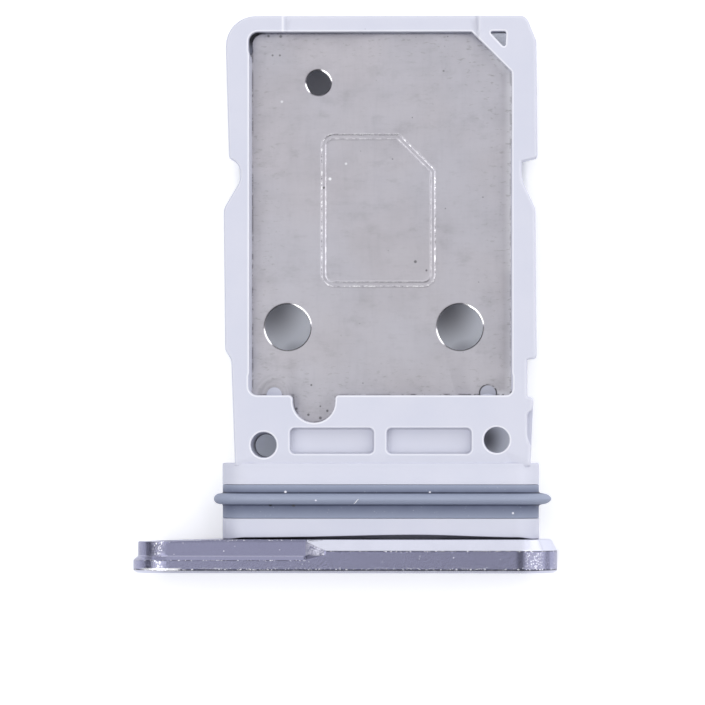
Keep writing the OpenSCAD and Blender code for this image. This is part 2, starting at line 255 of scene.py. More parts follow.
class MouldingLook(bpy.types.PropertyGroup):
    """Sizes and colours of the moulded frame."""

    edge_radius: length_property("Edge radius", "Rounding of the frame's outer edges", 0.07, 0.02, 0.07)
    rim_radius: length_property("Rim radius", "Rounding of the pocket's rim", 0.043, 0.01, 0.045)
    recess_depth: length_property("Recess depth", "Depth of the recesses by the plug", 0.3, 0.1, 0.45)
    bar_drop: length_property("Bar drop", "How far the tip bar's middle lies under its ends", 0.09, 0, 0.15)
    colour: colour_property("Colour", "White of the moulding", (0.655, 0.665, 0.77))
    shade: colour_property("Shade", "Slightly darker clouds in the moulding", (0.625, 0.64, 0.752))
    # Painted highlight: the rim colour lightens the thin rims
    rim_highlight: colour_property("Rim colour", "Thin rims, where light gets through", (0.95, 0.95, 1.0))
    # Painted shade: this colour darkens the gaps, the recesses, the pins and the pockets' blind tip corners
    dirt_and_shade: colour_property("Dirt", "Dirt in gaps and round the pins", (0.03, 0.03, 0.04))


class SheetLook(bpy.types.PropertyGroup):
    """Sizes and colours of the stamped sheet."""

    rim_width: length_property("Rim width", "Width of the punched holes' sloped rim", 0.11, 0.02, 0.12)
    groove_width: length_property("Groove width", "Width of the pressed card outline", 0.17, 0.08, 0.2)
    groove_depth: length_property("Groove depth", "Depth of the pressed card outline", 0.009, 0.005, 0.03)
    colour: colour_property("Colour", "Bare steel", (0.5, 0.49, 0.542))
    # Also painted shade: this colour darkens the sheet near the pocket's walls and towards its left tip
    # corner
    tarnish_and_shade: colour_property("Tarnish", "Duller steel at the edges and the pins", (0.405, 0.395, 0.437))
    # This colour paints pits, a thin dark line along the pocket's edges, a dark ring round each pin, painted
    # shade on the holes' narrow rims, and dark breaks in the painted highlights
    dirt_and_shade: colour_property("Dirt", "Pits, and dirt along the pocket's edges", (0.08, 0.08, 0.09))


class CapLook(bpy.types.PropertyGroup):
    """Sizes and colours of the end cap."""

    chamfer: length_property("Chamfer", "Chamfer round the outer face", CAP_CHAMFER, 0.04, 0.15)
    back_drop: length_property("Back drop", "Drop of the polished band to the cap's back", 0.2, 0.1, 0.25)
    rebate: length_property("Rebate", "Step down of the rebate round the pin-hole end", 0.165, 0.1, 0.19)
    hole_radius: length_property("Pin hole radius", "Radius of the pin hole", 0.55, 0.4, 0.65)
    sink_radius: length_property("Countersink radius", "Radius of the pin hole's mouth", 0.75, 0.7, 0.85)
    colour: colour_property("Colour", "Blasted and anodised violet grey", (0.28, 0.282, 0.405))
    bright: colour_property("Bright", "Metal that was cut after anodising", (0.635, 0.645, 0.75))


class SealLook(bpy.types.PropertyGroup):
    """Sizes and colours of the seal."""

    root_fillet: length_property("Root fillet", "Hollow round at the lip's root", 0.08, 0.02, 0.12)
    colour: colour_property("Colour", "Blue-grey silicone", (0.308, 0.345, 0.462))
    dust: colour_property("Dust", "Fine dust on the silicone", (0.5, 0.54, 0.61))
    # Painted shade: this colour darkens the folds beside the lip and the lower band
    dirt_and_shade: colour_property("Dirt", "Dirt in the folds beside the lip", (0.11, 0.13, 0.21))


class StudioLook(bpy.types.PropertyGroup):
    """Floor, lamps and world."""

    floor: colour_property("Floor", "Colour of the floor", (0.85, 0.86, 0.9))
    lift: FloatProperty(
        name="Lift", description="How much the camera sees the floor glow, so that open floor reads white",
        default=0.38, min=0, max=1, subtype="FACTOR")
    shade: colour_property("Shade", "Floor under the holes, where little light gets in", (0.38, 0.38, 0.41))
    ambient: FloatProperty(
        name="Ambient", description="Strength of the world's soft white light", default=0.2, min=0, max=1)


def unit(vectors):
    """Vectors divided by their own lengths."""
    return vectors / np.linalg.norm(vectors, axis=-1, keepdims=True)


def ramp(values, start, end):
    """Straight ramp from 0 at start to 1 at end, held level outside."""
    return np.clip((values - start) / (end - start), 0, 1)


def ease(values, start, end):
    """S-shaped ramp from 0 at start to 1 at end."""
    t = ramp(values, start, end)
    return t * t * (3 - 2 * t)


def soft_min(first, second, reach):
    """The lower of two values, with the corner between them rounded over about four times reach."""
    return -reach * np.logaddexp(-first / reach, -second / reach)


def rounded(corners):
    """Outline through corners (x, y, radius), each an arc tangent to both of its sides.

    The arc's centre lies on the corner's bisector, radius / sin(half angle) away. Returns the points
    and the normals that point out of the outline."""
    corners = np.array(corners, float)
    here = corners[:, :2]
    radius = corners[:, 2]
    back = unit(np.roll(here, 1, 0) - here)
    ahead = unit(np.roll(here, -1, 0) - here)
    half = np.arccos(np.clip((back * ahead).sum(1), -1, 1)) / 2
    centre = here + unit(back + ahead) * (radius / np.sin(half))[:, None]
    reach = (radius / np.tan(half))[:, None]
    first = here + back * reach - centre
    last = here + ahead * reach - centre
    start = np.arctan2(first[:, 1], first[:, 0])
    sweep = (np.arctan2(last[:, 1], last[:, 0]) - start + np.pi) % (2 * np.pi) - np.pi
    turn = start[:, None] + sweep[:, None] * np.linspace(0, 1, ARC_STEPS + 1)
    radial = np.stack((np.cos(turn), np.sin(turn)), -1)
    points = centre[:, None] + radius[:, None, None] * radial
    normals = radial * np.sign(sweep)[:, None, None]
    return points.reshape(-1, 2), normals.reshape(-1, 2)


def circle(centre, radius):
    """Outline of a circle, with its outward normals."""
    turn = np.arange(HOLE_STEPS) * 2 * np.pi / HOLE_STEPS
    normals = np.column_stack((np.cos(turn), np.sin(turn)))
    return np.array(centre) + radius * normals, normals


def box_outline(x_span, y_span, radius):
    """Outline of a rectangle with rounded corners."""
    return rounded([(x_span[0], y_span[0], radius), (x_span[1], y_span[0], radius),
                    (x_span[1], y_span[1], radius), (x_span[0], y_span[1], radius)])


def spaced(outline, step=SPACING):
    """Outline with points added along its straight stretches, at most step apart."""
    points, normals = outline
    following = np.roll(points, -1, 0)
    parts = np.maximum(1, np.ceil(np.linalg.norm(following - points, axis=1) / step)).astype(int)
    index = np.repeat(np.arange(len(points)), parts)
    first = np.repeat(np.cumsum(parts) - parts, parts)
    t = ((np.arange(parts.sum()) - first) / parts[index])[:, None]
    new_points = points[index] * (1 - t) + following[index] * t
    new_normals = normals[index] * (1 - t) + np.roll(normals, -1, 0)[index] * t
    return new_points, unit(new_normals)


def crossed(outline, lines):
    """Outline with a point added wherever it crosses one of the lines x = value, so that a step there
    is straight."""
    points, normals = outline
    for line in lines:
        following = np.roll(points, -1, 0)
        at = np.flatnonzero((points[:, 0] - line) * (following[:, 0] - line) < 0)
        t = ((line - points[at, 0]) / (following[at, 0] - points[at, 0]))[:, None]
        new_points = points[at] * (1 - t) + following[at] * t
        new_points[:, 0] = line
        points = np.insert(points, at + 1, new_points, axis=0)
        normals = np.insert(normals, at + 1, normals[at], axis=0)
    return points, normals


def turned_over(outline):
    """Outline mirrored about the pocket's middle line, and still anticlockwise."""
    points, normals = outline
    return ((points * (-1, 1) + (2 * MID_X, 0))[::-1], (normals * (-1, 1))[::-1])


def wall(outline, offsets, heights):
    """Rows of a wall along an outline: row k is the outline moved along its normals by offsets[k], at
    heights[k]. An offset is one number, or one for each point."""
    points, normals = outline
    count = len(points)
    out = np.stack([np.broadcast_to(offset, count) for offset in offsets])
    rise = np.broadcast_to(np.array(heights, float)[:, None], out.shape)
    return np.concatenate((points + out[..., None] * normals, rise[..., None]), -1)


def quarter(start, end):
    """Quarter round between two (offset, height) points: leaves start along its height and reaches end
    along its offset. Returns offsets and heights after the start."""
    turn = np.linspace(0, np.pi / 2, RIM_STEPS + 1)[1:]
    offsets = start[0] + (end[0] - start[0]) * (1 - np.cos(turn))
    heights = start[1] + (end[1] - start[1]) * np.sin(turn)
    return list(offsets), list(heights)


def rim(radius, top, margin=0.03):
    """Rows of a rim that rounds up onto a level face: offsets, heights and marks of a quarter round and
    of a margin row on the face, where the mark has faded."""
    offsets, heights = quarter((0, top - radius), (radius, top))
    marks = list(np.linspace(0, 1, RIM_STEPS + 1)[1:])
    return offsets + [radius + margin], heights + [top], marks + [0]


def filled(loops, spread=None):
    """Triangles between the first loop and the others, which are holes in it: a constrained Delaunay
    mesh of all their points. Spread holds further points inside the face."""
    sizes = [len(loop) for loop in loops]
    marks = np.split(np.arange(sum(sizes)), np.cumsum(sizes)[:-1])
    corners = np.vstack(list(loops) + ([] if spread is None else [spread]))
    made = delaunay_2d_cdt(corners.tolist(), [], [mark.tolist() for mark in marks], 2, 1e-6)
    return np.array(made[0]), np.array(made[2])


def long_round(half, spine=None, turns=36):
    """Path round an oval with straight sides: for each point the place x of its foot on the middle
    line and the direction (x, z) from there. Spine holds the places along the straight sides."""
    spine = np.linspace(-half, half, 25) if spine is None else spine
    turn = np.linspace(0, np.pi, turns + 1)[1:-1]
    feet = np.concatenate((spine[::-1], np.full(turns - 1, -half), spine, np.full(turns - 1, half)))
    angles = np.concatenate((np.full(len(spine), np.pi / 2), np.pi / 2 + turn,
                             np.full(len(spine), -np.pi / 2), -np.pi / 2 + turn))
    return feet, np.column_stack((np.cos(angles), np.sin(angles)))


def carried(profile, path, centre_x):
    """Profile of (radius, y) points carried round an oval: one row for each point of the profile."""
    feet, ways = path
    radius, along = np.array(profile, float).T[:, :, None]
    x = centre_x + feet + radius * ways[:, 0]
    return np.stack((x, np.broadcast_to(along, x.shape), radius * ways[:, 1]), -1)


class Skin:
    """Gathers the surfaces of one piece, in millimetres, and makes one closed mesh of them."""

    def __init__(self):
        self.points = []
        self.faces = []
        self.looks = []
        self.marks = []
        self.count = 0

    def add(self, points, faces, look=0, mark=0.0):
        """Adds points and faces; look is the place of the faces' material, and mark says where its finish
        is rubbed or a highlight is painted, above 0, or where shade is painted, below 0 on the frame and the
        sheet;
        on the seal, marks above 0 are painted shade."""
        self.points.append(points)
        self.faces += (faces + self.count).tolist()
        self.looks.append(np.broadcast_to(look, len(faces)))
        self.marks.append(np.broadcast_to(mark, len(points)))
        self.count += len(points)

    def grid(self, rows, look=0, mark=0.0, ring=False):
        """Adds quads between neighbouring rows, each row joined end to start; a ring also joins the
        last row to the first."""
        count, width = rows.shape[:2]
        index = np.arange(count * width).reshape(count, width)
        index = np.column_stack((index, index[:, 0]))
        if ring:
            index = np.vstack((index, index[:1]))
        quads = np.stack((index[:-1, :-1], index[:-1, 1:], index[1:, 1:], index[1:, :-1]), -1)
        if np.size(mark) == count:
            mark = np.broadcast_to(np.array(mark, float)[:, None], (count, width)).ravel()
        self.add(rows.reshape(-1, 3), quads.reshape(-1, 4), look, mark)

    def face(self, loops, height, spread=None, upright=False, mark=0.0):
        """Adds a flat face between loops, level at a height or, if upright, across Y at that place."""
        corners, triangles = filled(loops, spread)
        level = np.full(len(corners), float(height))
        order = (corners[:, 0], level, corners[:, 1]) if upright else (*corners.T, level)
        self.add(np.column_stack(order), triangles, 0, mark)

    def change(self, step):
        """Passes all points and marks so far through a function."""
        points, marks = step(np.vstack(self.points), np.concatenate(self.marks))
        self.points, self.marks = [points], [marks]

    def mesh(self, name):
        """One mesh, still in millimetres, with its doubles merged and its faces turned outwards."""
        mesh = bpy.data.meshes.new(name)
        mesh.from_pydata(np.vstack(self.points).tolist(), [], self.faces)
        mesh.polygons.foreach_set("material_index", np.concatenate(self.looks).astype(np.int32))
        mark = mesh.attributes.new("mark", "FLOAT", "POINT")
        mark.data.foreach_set("value", np.concatenate(self.marks).astype(np.float32))
        work = bmesh.new()
        work.from_mesh(mesh)
        bmesh.ops.remove_doubles(work, verts=work.verts, dist=MERGE)
        bmesh.ops.recalc_face_normals(work, faces=work.faces)
        work.to_mesh(mesh)
        work.free()
        return mesh


def fused(name, meshes):
    """Union of closed meshes as one mesh, by the boolean modifier's exact manifold solver."""
    scene = bpy.context.scene
    objects = [bpy.data.objects.new(name, mesh) for mesh in meshes]
    for item in objects:
        scene.collection.objects.link(item)
    for other in objects[1:]:
        join = objects[0].modifiers.new("join", "BOOLEAN")
        join.operation = "UNION"
        join.solver = "MANIFOLD"
        join.object = other
    graph = bpy.context.evaluated_depsgraph_get()
    result = bpy.data.meshes.new_from_object(objects[0].evaluated_get(graph))
    for item in objects:
        bpy.data.objects.remove(item)
    result.materials.clear()
    if len(result.vertices) < len(meshes[0].vertices) // 2:
        raise RuntimeError(f"the union of {name} came out empty")
    return result


def piece(name, mesh, materials, crease, nodes=()):
    """Object of a finished mesh, in metres, that rides on the tray and stands for its CAD nodes."""
    mesh.transform(Matrix.Scale(MM, 4))
    for material in materials:
        mesh.materials.append(material)
    mesh.shade_smooth()
    mesh.set_sharp_from_angle(angle=math.radians(crease))
    made = bpy.data.objects.new(name, mesh)
    bpy.context.scene.collection.objects.link(made)
    even = made.modifiers.new("even shading", "WEIGHTED_NORMAL")
    even.keep_sharp = True
    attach(made, "root")
    if nodes:
        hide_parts(*nodes)
    return made


class Signal:
    """A node's output socket that takes part in Python sums; each sum adds one Math node."""

    def __init__(self, finish, socket):
        self.finish = finish
        self.socket = socket

    def math(self, operation, *others):
        """Math node of this value and others."""
        return self.finish.node("ShaderNodeMath", {"operation": operation}, dict(enumerate((self, *others))))

    def __add__(self, other):
        return self.math("ADD", other)

    __radd__ = __add__

    def __mul__(self, other):
        return self.math("MULTIPLY", other)

    __rmul__ = __mul__

    def __sub__(self, other):
        return self.math("SUBTRACT", other)

    def __rsub__(self, other):
        return self.finish.node("ShaderNodeMath", {"operation": "SUBTRACT"}, {0: other, 1: self})

    def either(self, other):
        """The larger of this value and another."""
        return self.math("MAXIMUM", other)

    def over(self, start, end):
        """0 below start, 1 above end and an S-shaped ramp between; start may be the higher one."""
        if start > end:
            return 1 - self.over(end, start)
        return self.finish.node("ShaderNodeMapRange", {"interpolation_type": "SMOOTHSTEP"},
                                {"Value": self, "From Min": start, "From Max": end})


class Finish:
    """A procedural material on the object's own coordinates, in millimetres. Its tone starts as one
    colour, and more are painted over it."""

    def __init__(self, name, tone, **constants):
        self.material = bpy.data.materials.new(name)
        self.material.use_nodes = True
        self.tree = self.material.node_tree
        self.shader = self.tree.nodes["Principled BSDF"]
        for socket, value in constants.items():
            self.shader.inputs[socket.replace("_", " ")].default_value = value
        place = self.node("ShaderNodeTexCoord", {}, {}, "Object")
        self.place = self.vector("SCALE", place, Scale=1 / MM)
        self.tone = tone

    def node(self, kind, settings, values, output=0):
        """Adds a node, sets it first and then fills its sockets with numbers, colours or links."""
        node = self.tree.nodes.new(kind)
        for name, value in settings.items():
            setattr(node, name, value)
        for name, value in values.items():
            self.fill(node.inputs[name], value)
        return Signal(self, node.outputs[output])

    def fill(self, socket, value):
        """Links a signal to a socket, or writes a number or colour into it."""
        if isinstance(value, Signal):
            self.tree.links.new(value.socket, socket)
        else:
            socket.default_value = value

    def vector(self, operation, first, *second, output=0, **values):
        """Vector Math node."""
        sockets = {**dict(enumerate((first, *second))), **values}
        return self.node("ShaderNodeVectorMath", {"operation": operation}, sockets, output)

    def mark(self):
        """The mesh's own mark of places that are rubbed, or that get a painted highlight or painted shade.
        """
        return self.node("ShaderNodeAttribute", {"attribute_name": "mark"}, {}, "Fac")

    def noise(self, scale, detail=2.0, rough=0.5, stretch=(1, 1, 1), shift=(0, 0, 0)):
        """Noise from 0 to 1 around 0.5, with scale waves in a millimetre, squeezed by stretch."""
        place = self.vector("MULTIPLY", self.vector("ADD", self.place, shift), stretch)
        values = {"Vector": place, "Scale": scale, "Detail": detail, "Roughness": rough}
        return self.node("ShaderNodeTexNoise", {}, values, "Fac")

    def dots(self, scale, size, share, shift=(0, 0, 0)):
        """Small round dots, 1 inside: in each cell of scale to the millimetre, with a chance of share."""
        cell = {"Vector": self.vector("ADD", self.place, shift), "Scale": scale, "Randomness": 1.0}
        reach, tint = (self.node("ShaderNodeTexVoronoi", {"feature": "F1"}, cell, output)
                       for output in ("Distance", "Color"))
        pick = self.node("ShaderNodeSeparateColor", {}, {"Color": tint}, "Red")
        return reach.over(size, size * 0.5) * pick.over(1 - share - 0.001, 1 - share)

    def axis(self, name):
        """One coordinate of the place, in millimetres."""
        return self.node("ShaderNodeSeparateXYZ", {}, {"Vector": self.place}, name)

    def band(self, value, middle, inner, outer):
        """1 while a value is within inner of the middle, falling to 0 at outer."""
        return (value - middle).math("ABSOLUTE").over(outer, inner)

    def away(self, point):
        """Distance from a point, in millimetres."""
        return self.vector("DISTANCE", self.place, point, output="Value")

    def near(self, point, inner, outer):
        """1 within inner millimetres of a point, falling to 0 at outer."""
        return self.away(point).over(outer, inner)

    def mix(self, factor, first, second, blend="MIX"):
        """Colour between two colours."""
        first = first if isinstance(first, Signal) else (*first, 1)
        second = second if isinstance(second, Signal) else (*second, 1)
        return self.node("ShaderNodeMix", {"data_type": "RGBA", "blend_type": blend},
                         {0: factor, 6: first, 7: second}, 2)

    def paint(self, mask, colour, blend="MIX"):
        """Lays a colour over the tone, as strongly as the mask says."""
        self.tone = self.mix(mask, self.tone, colour, blend)

    def speckle(self, specks, strength, blue):
        """Paints single specks, each given as (x, y, z, radius, how light it is), their blue that many
        times as strong as their red."""
        for *place, size, light in specks:
            self.paint(self.near(place, size * 0.4, size) * strength, (light, light, light * blue))

    def bump(self, height, strength, depth, **below):
        """Normal of a surface that height lifts by up to depth millimetres."""
        values = {"Height": height, "Strength": strength, "Distance": depth * MM, **below}
        return self.node("ShaderNodeBump", {}, values)

    def wear(self, **sockets):
        """Feeds the tone and other signals to the shader and gives the finished material."""
        self.fill(self.shader.inputs["Base Color"], self.tone)
        for name, value in sockets.items():
            self.fill(self.shader.inputs[name.replace("_", " ")], value)
        return self.material


# Colours of wear, painted light and painted shade that the materials share or that are too small to be set
# by a user
EDGE_SHADE = (0.03, 0.03, 0.05)
DEEP_SHADE = (0.05, 0.05, 0.08)
FROST = (0.6, 0.6, 0.7)
CHIP_AND_GLEAM = (0.95, 0.95, 1.0)
WARM_STEEL = (1.0, 0.97, 0.94)
STREAK = (0.8, 0.8, 0.82)


def white_moulding(look):
    """Satin moulding: faint clouds, a fine spark-eroded grain, a few specks of dust, painted highlights on
    the rims, and painted shade in the gaps, recesses and hole ledges, at the bar's steps, on the pins and in
    the blind tip corner of each pocket."""
    finish = Finish("white_moulding", look.colour, IOR=1.49)
    grain = finish.noise(26.0, 2.0, 0.6)
    peel = finish.noise(3.2, 2.0, 0.5, shift=(7, 3, 1))
    finish.paint(finish.noise(0.45, 3.0, 0.55).over(0.3, 0.75), look.shade)
    finish.paint(finish.dots(1.1, 0.035, 0.3) * 0.35, (0.3, 0.3, 0.36))
    marks = finish.mark()
    # Painted highlight on the rims, where marks are above 0
    rims = marks.either(0.0)
    finish.paint(rims, look.rim_highlight)
    upper, lower = (finish.near((x, POCKET_TIP, 0), 0.25, 0.6) for x in (LEFT_WALL, 2 * MID_X - LEFT_WALL))
    inside = finish.axis("Y").over(POCKET_TIP + 0.2, POCKET_TIP + 0.05)
    low = finish.axis("Z").math("ABSOLUTE").over(0.5, 0.2)
    # Painted shade where marks are below 0, and in the blind tip corners of both pockets
    finish.paint((marks * -1).either(upper.either(lower) * inside * low * 0.85), look.dirt_and_shade)
    relief = finish.bump(grain, 0.25, 0.004, Normal=finish.bump(peel, 0.2, 0.01))
    return finish.wear(Roughness=0.36 + grain * 0.12 + peel * 0.06 - rims * 0.16, Normal=relief)


def stamped_steel(look):
    """Rolled steel: brushed streaks, soft smudges, scuffs, pits, rubbed edges with painted highlights, a
    thin dark line along the pocket's edges, painted shade near its walls, in its left tip corner, beside the
    pins and on the holes' narrow rims, painted light along its right wall, and swirl marks round the two
    pins. The lower face's pattern is the upper one turned over."""
    finish = Finish("stamped_steel", look.colour, Metallic=1.0)
    x, y, z = (finish.axis(name) for name in "XYZ")
    x = x + z.over(0.01, -0.01) * (2 * MID_X - x * 2)
    streaks = finish.noise(6.0, 3.0, 0.65, stretch=(1, 0.12, 1))
    cross = finish.noise(7.0, 3.0, 0.65, stretch=(0.14, 1, 1), shift=(3, 9, 0))
    wisps = finish.noise(1.3, 5.0, 0.65, stretch=(0.6, 1, 1), shift=(9, 4, 0)).over(0.52, 0.75)
    smudge = finish.noise(0.55, 4.0, 0.6, shift=(4, 2, 0))
    tint = finish.noise(0.3, 2.0, 0.5, shift=(1, 8, 0))
    scuffs = finish.noise(2.6, 4.0, 0.7, stretch=(0.45, 1, 1), shift=(8, 5, 0)).over(0.56, 0.72)
    grain = finish.noise(34.0, 2.0, 0.6)
    border = pocket_distance(x, y)
    # Painted shade near the pocket's walls and towards its left tip corner
    shade = border.over(0.8, 0.0) * smudge.over(0.3, 0.6)
    corner = finish.near((LEFT_WALL + 0.6, POCKET_TIP - 1.4, 0), 0.3, 3.6)
    swirl, arcs_and_shade, rings = pin_marks(finish, x, smudge, cross)

    # Smudges, scuffs, swirls and wisps, together with the painted shade above
    dull_and_shade = smudge.over(0.35, 0.75) * 0.5 + shade * 0.12 + corner * 0.3
    dull_and_shade = dull_and_shade + scuffs * 0.4 + swirl * 0.6 + wisps * 0.65
    finish.paint(dull_and_shade.math("MINIMUM", 1.0), look.tarnish_and_shade)
    finish.paint(tint.over(0.35, 0.65) * 0.5, WARM_STEEL, "MULTIPLY")
    for lines in (streaks, cross):
        finish.paint(lines.over(0.45, 0.75) * 0.15, STREAK, "MULTIPLY")
    finish.paint(arcs_and_shade * 0.17, (0.16, 0.16, 0.18))
    # Painted light along the right wall, and the sheet slightly lighter towards the root
    bounce = border.over(0.3, 0.0) * x.over(4.6, 5.2) * 0.5
    finish.paint(bounce.either(y.over(13.5, 7.5) * 0.05), (0.82, 0.82, 0.86))
    grime = finish.noise(9.0, 3.0, 0.65, stretch=(0.4, 1, 1), shift=(4, 4, 1)).over(0.57, 0.7)
    region = border.over(1.7, 0.2) * 0.8 + finish.near((4.2, 16.8, SHEET_T), 0.4, 2.4) * 0.6 + 0.2
    finish.paint(grime * region * 0.3, (0.2, 0.19, 0.19))

    pits = finish.dots(1.7, 0.06, 0.3).either(finish.dots(3.1, 0.07, 0.08, (5, 5, 0)))
    line = border.over(0.07, 0.02) * finish.noise(2.6, 3.0, 0.7, shift=(1, 1, 0)).over(0.42, 0.56)
    root = y.over(POCKET_ROOT + 0.2, POCKET_ROOT + 0.1) * x.over(MID_X, MID_X + 1.5)
    line = line * (x.over(MID_X, LEFT_WALL) * 0.25 + 0.3 + root * 0.5)
    finish.paint((pits * 0.5).either(line).either(rings), look.dirt_and_shade)
    # Marks above 0 paint highlights on the hole rims, the burrs and the edge, with dark breaks away from the
    # holes; marks below 0 paint shade on the holes' narrow rims
    marks = finish.mark()
    bright = marks.either(0.0)
    holes = sum(finish.near((*spot, SHEET_T), 1.0, 1.1) for spot in BIG_HOLES + (SMALL_HOLE,))
    chain = finish.noise(7.0, 3.0, 0.7, shift=(2, 2, 2))
    gaps = bright * chain.over(0.43, 0.38) * (1 - holes)
    finish.paint((marks * -1).either(gaps * 0.7), look.dirt_and_shade)
    lit_and_rubbed_edges = bright * chain.over(0.5, 0.6).either(holes)
    finish.paint(lit_and_rubbed_edges, (0.93, 0.93, 0.95))
    finish.speckle([(*speck[:2], SHEET_T, *speck[2:]) for speck in SHEET_SPECKS], 0.75, 1.05)
    waves = finish.bump(finish.noise(1.6, 2.0, 0.5, shift=(6, 1, 0)), 0.15, 0.01)
    relief = finish.bump(streaks * 0.5 + grain * 0.5, 0.3, 0.003, Normal=waves)
    return finish.wear(Roughness=0.3 + smudge * 0.1 + streaks * 0.06 - lit_and_rubbed_edges * 0.22, Normal=relief)


def pin_marks(finish, x, smudge, cross):
    """Marks round the sheet's two pins: fine swirls and arcs that the moulding left, painted shade on the
    side of each pin towards the nearer wall, and a dark ring close round each pin."""
    swirl = arcs_and_shade = rings = 0
    for spot, reach, side in zip(PIN_SPOTS, (0.9, 0.75), (-1, 1)):
        away = finish.away((*spot, SHEET_T))
        waves = (away * 55 + smudge * 6).math("SINE") * 0.5 + 0.5
        swirl = away.over(reach, 0.3) * (0.3 + waves * 0.7) * smudge.over(0.2, 0.55) + swirl
        ring = finish.band(away, PIN_R + 0.015, 0.02, 0.04) * cross.over(0.4, 0.5)
        rings = ring * (0.5 + side * 0.45) + rings
        warped = away + finish.noise(2.2, 3.0, 0.6, stretch=(1, 0.7, 1), shift=(2, 6, 0)) * 0.4 - 0.2
        arcs = finish.band(warped, 0.5, 0.02, 0.08) + finish.band(warped, 0.7, 0.02, 0.07) * 0.5
        # Arcs at the left pin, and painted shade within about half a millimetre of each pin
        arcs = arcs * (0.5 - side * 0.5) + warped.over(0.64, 0.46) * 0.9
        arcs_and_shade = arcs * x.over(spot[0] - side * 0.5, spot[0] + side * 0.25) + arcs_and_shade
    return swirl, arcs_and_shade, rings


def pocket_distance(x, y):
    """Signal of the distance to the nearest edge of the pocket, in millimetres; 0 outside it."""
    notch_y = (y - (NOTCH_END + NOTCH_R)).math("MINIMUM", 0.0)
    notch_x = x - NOTCH_X
    notch = NOTCH_R - (notch_x * notch_x + notch_y * notch_y).math("SQRT")
    border = (y - POCKET_ROOT).either(notch)
    for edge in (x - LEFT_WALL - FOOT_IN[-1], RIGHT_WALL - FOOT_IN[1] - x, POCKET_TIP - y,
                 (RIGHT_WALL + POCKET_TIP - CORNER_CUT - x - y) * math.sqrt(0.5)):
        border = border.math("MINIMUM", edge)
    return border.either(0.0)


def blasted_cap(look):
    """Bead blasted and anodised aluminium with a grain of tiny facets. Painted highlights sparkle on the
    crest at each rounded end, beside bands of painted shade, and painted bright specks sparkle all over but
    the back.
    Its edges are painted with dark lines and bright chips, and the back is smoother."""
    finish = Finish("anodised_cap", look.colour, Metallic=1.0)
    x, y = finish.axis("X"), finish.axis("Y")
    grain = finish.noise(14.0, 2.0, 0.7)
    fine = finish.noise(33.0, 1.0, 0.5, shift=(3, 3, 3))
    clouds = finish.noise(0.9, 3.0, 0.5)
    finish.paint(clouds * 0.2, (0.235, 0.235, 0.355))
    finish.paint(grain.over(0.3, 0.72) * 0.15, (0.33, 0.33, 0.45))
    sunk = y.over(REBATE_Y[1], REBATE_Y[1] + 0.05) * x.over(RUN_OUT[0] + 0.05, RUN_OUT[0] - 0.05)
    finish.paint(sunk * 0.25, (0.12, 0.12, 0.19))
    crest = finish.axis("Z").math("ABSOLUTE").over(CAP_R - 0.6, CAP_R - 0.5) * y.over(0.02, 0.06)
    # Painted shade: dark bands on the crest beside the painted highlights at each rounded end
    ends = finish.band(x, 5.99, 0.03, 0.2).either(finish.band(x, 6.92, 0.03, 0.16) * 0.6)
    finish.paint(ends.either(finish.band(x, -6.73, 0.05, 0.17) * 0.9) * crest * 0.65, DEEP_SHADE)
    # Painted highlights: bright specks all over but the back, and sparkling facets on the crest near each
    # rounded end
    painted_sparkle = finish.dots(7.0, 0.2, 0.04).either(finish.dots(13.0, 0.26, 0.03, (2, 1, 4)))
    painted_sparkle = painted_sparkle * y.over(CAP_D, CAP_D - 0.02)
    left = finish.band(x, -6.4, 0.1, 0.27) * (1 - finish.band(y, 0.52, 0.08, 0.11))
    flashes = (finish.band(x, 6.45, 0.14, 0.38) * 0.78).either(left) * crest
    facets = finish.dots(16.0, 0.6, 0.56, (1, 7, 2)) * 0.62 + 0.08
    finish.paint((painted_sparkle * 0.6).either(flashes * facets), (0.86, 0.86, 0.94))
    cap_edges(finish, x, y)
    round_ends = (x - CAP_X).math("ABSOLUTE").over(CAP_HALF - 0.1, CAP_HALF + 0.3)
    rear = y.over(CAP_D - 0.02, CAP_D - 0.005)
    coarse = (0.3 + round_ends * 0.7) * (1 - rear * 0.75)
    relief = finish.bump((grain * 0.5 + fine * 0.5) * coarse, 1.0, 0.024)
    return finish.wear(Roughness=0.22 + clouds * 0.06 - round_ends * 0.04, Normal=relief)


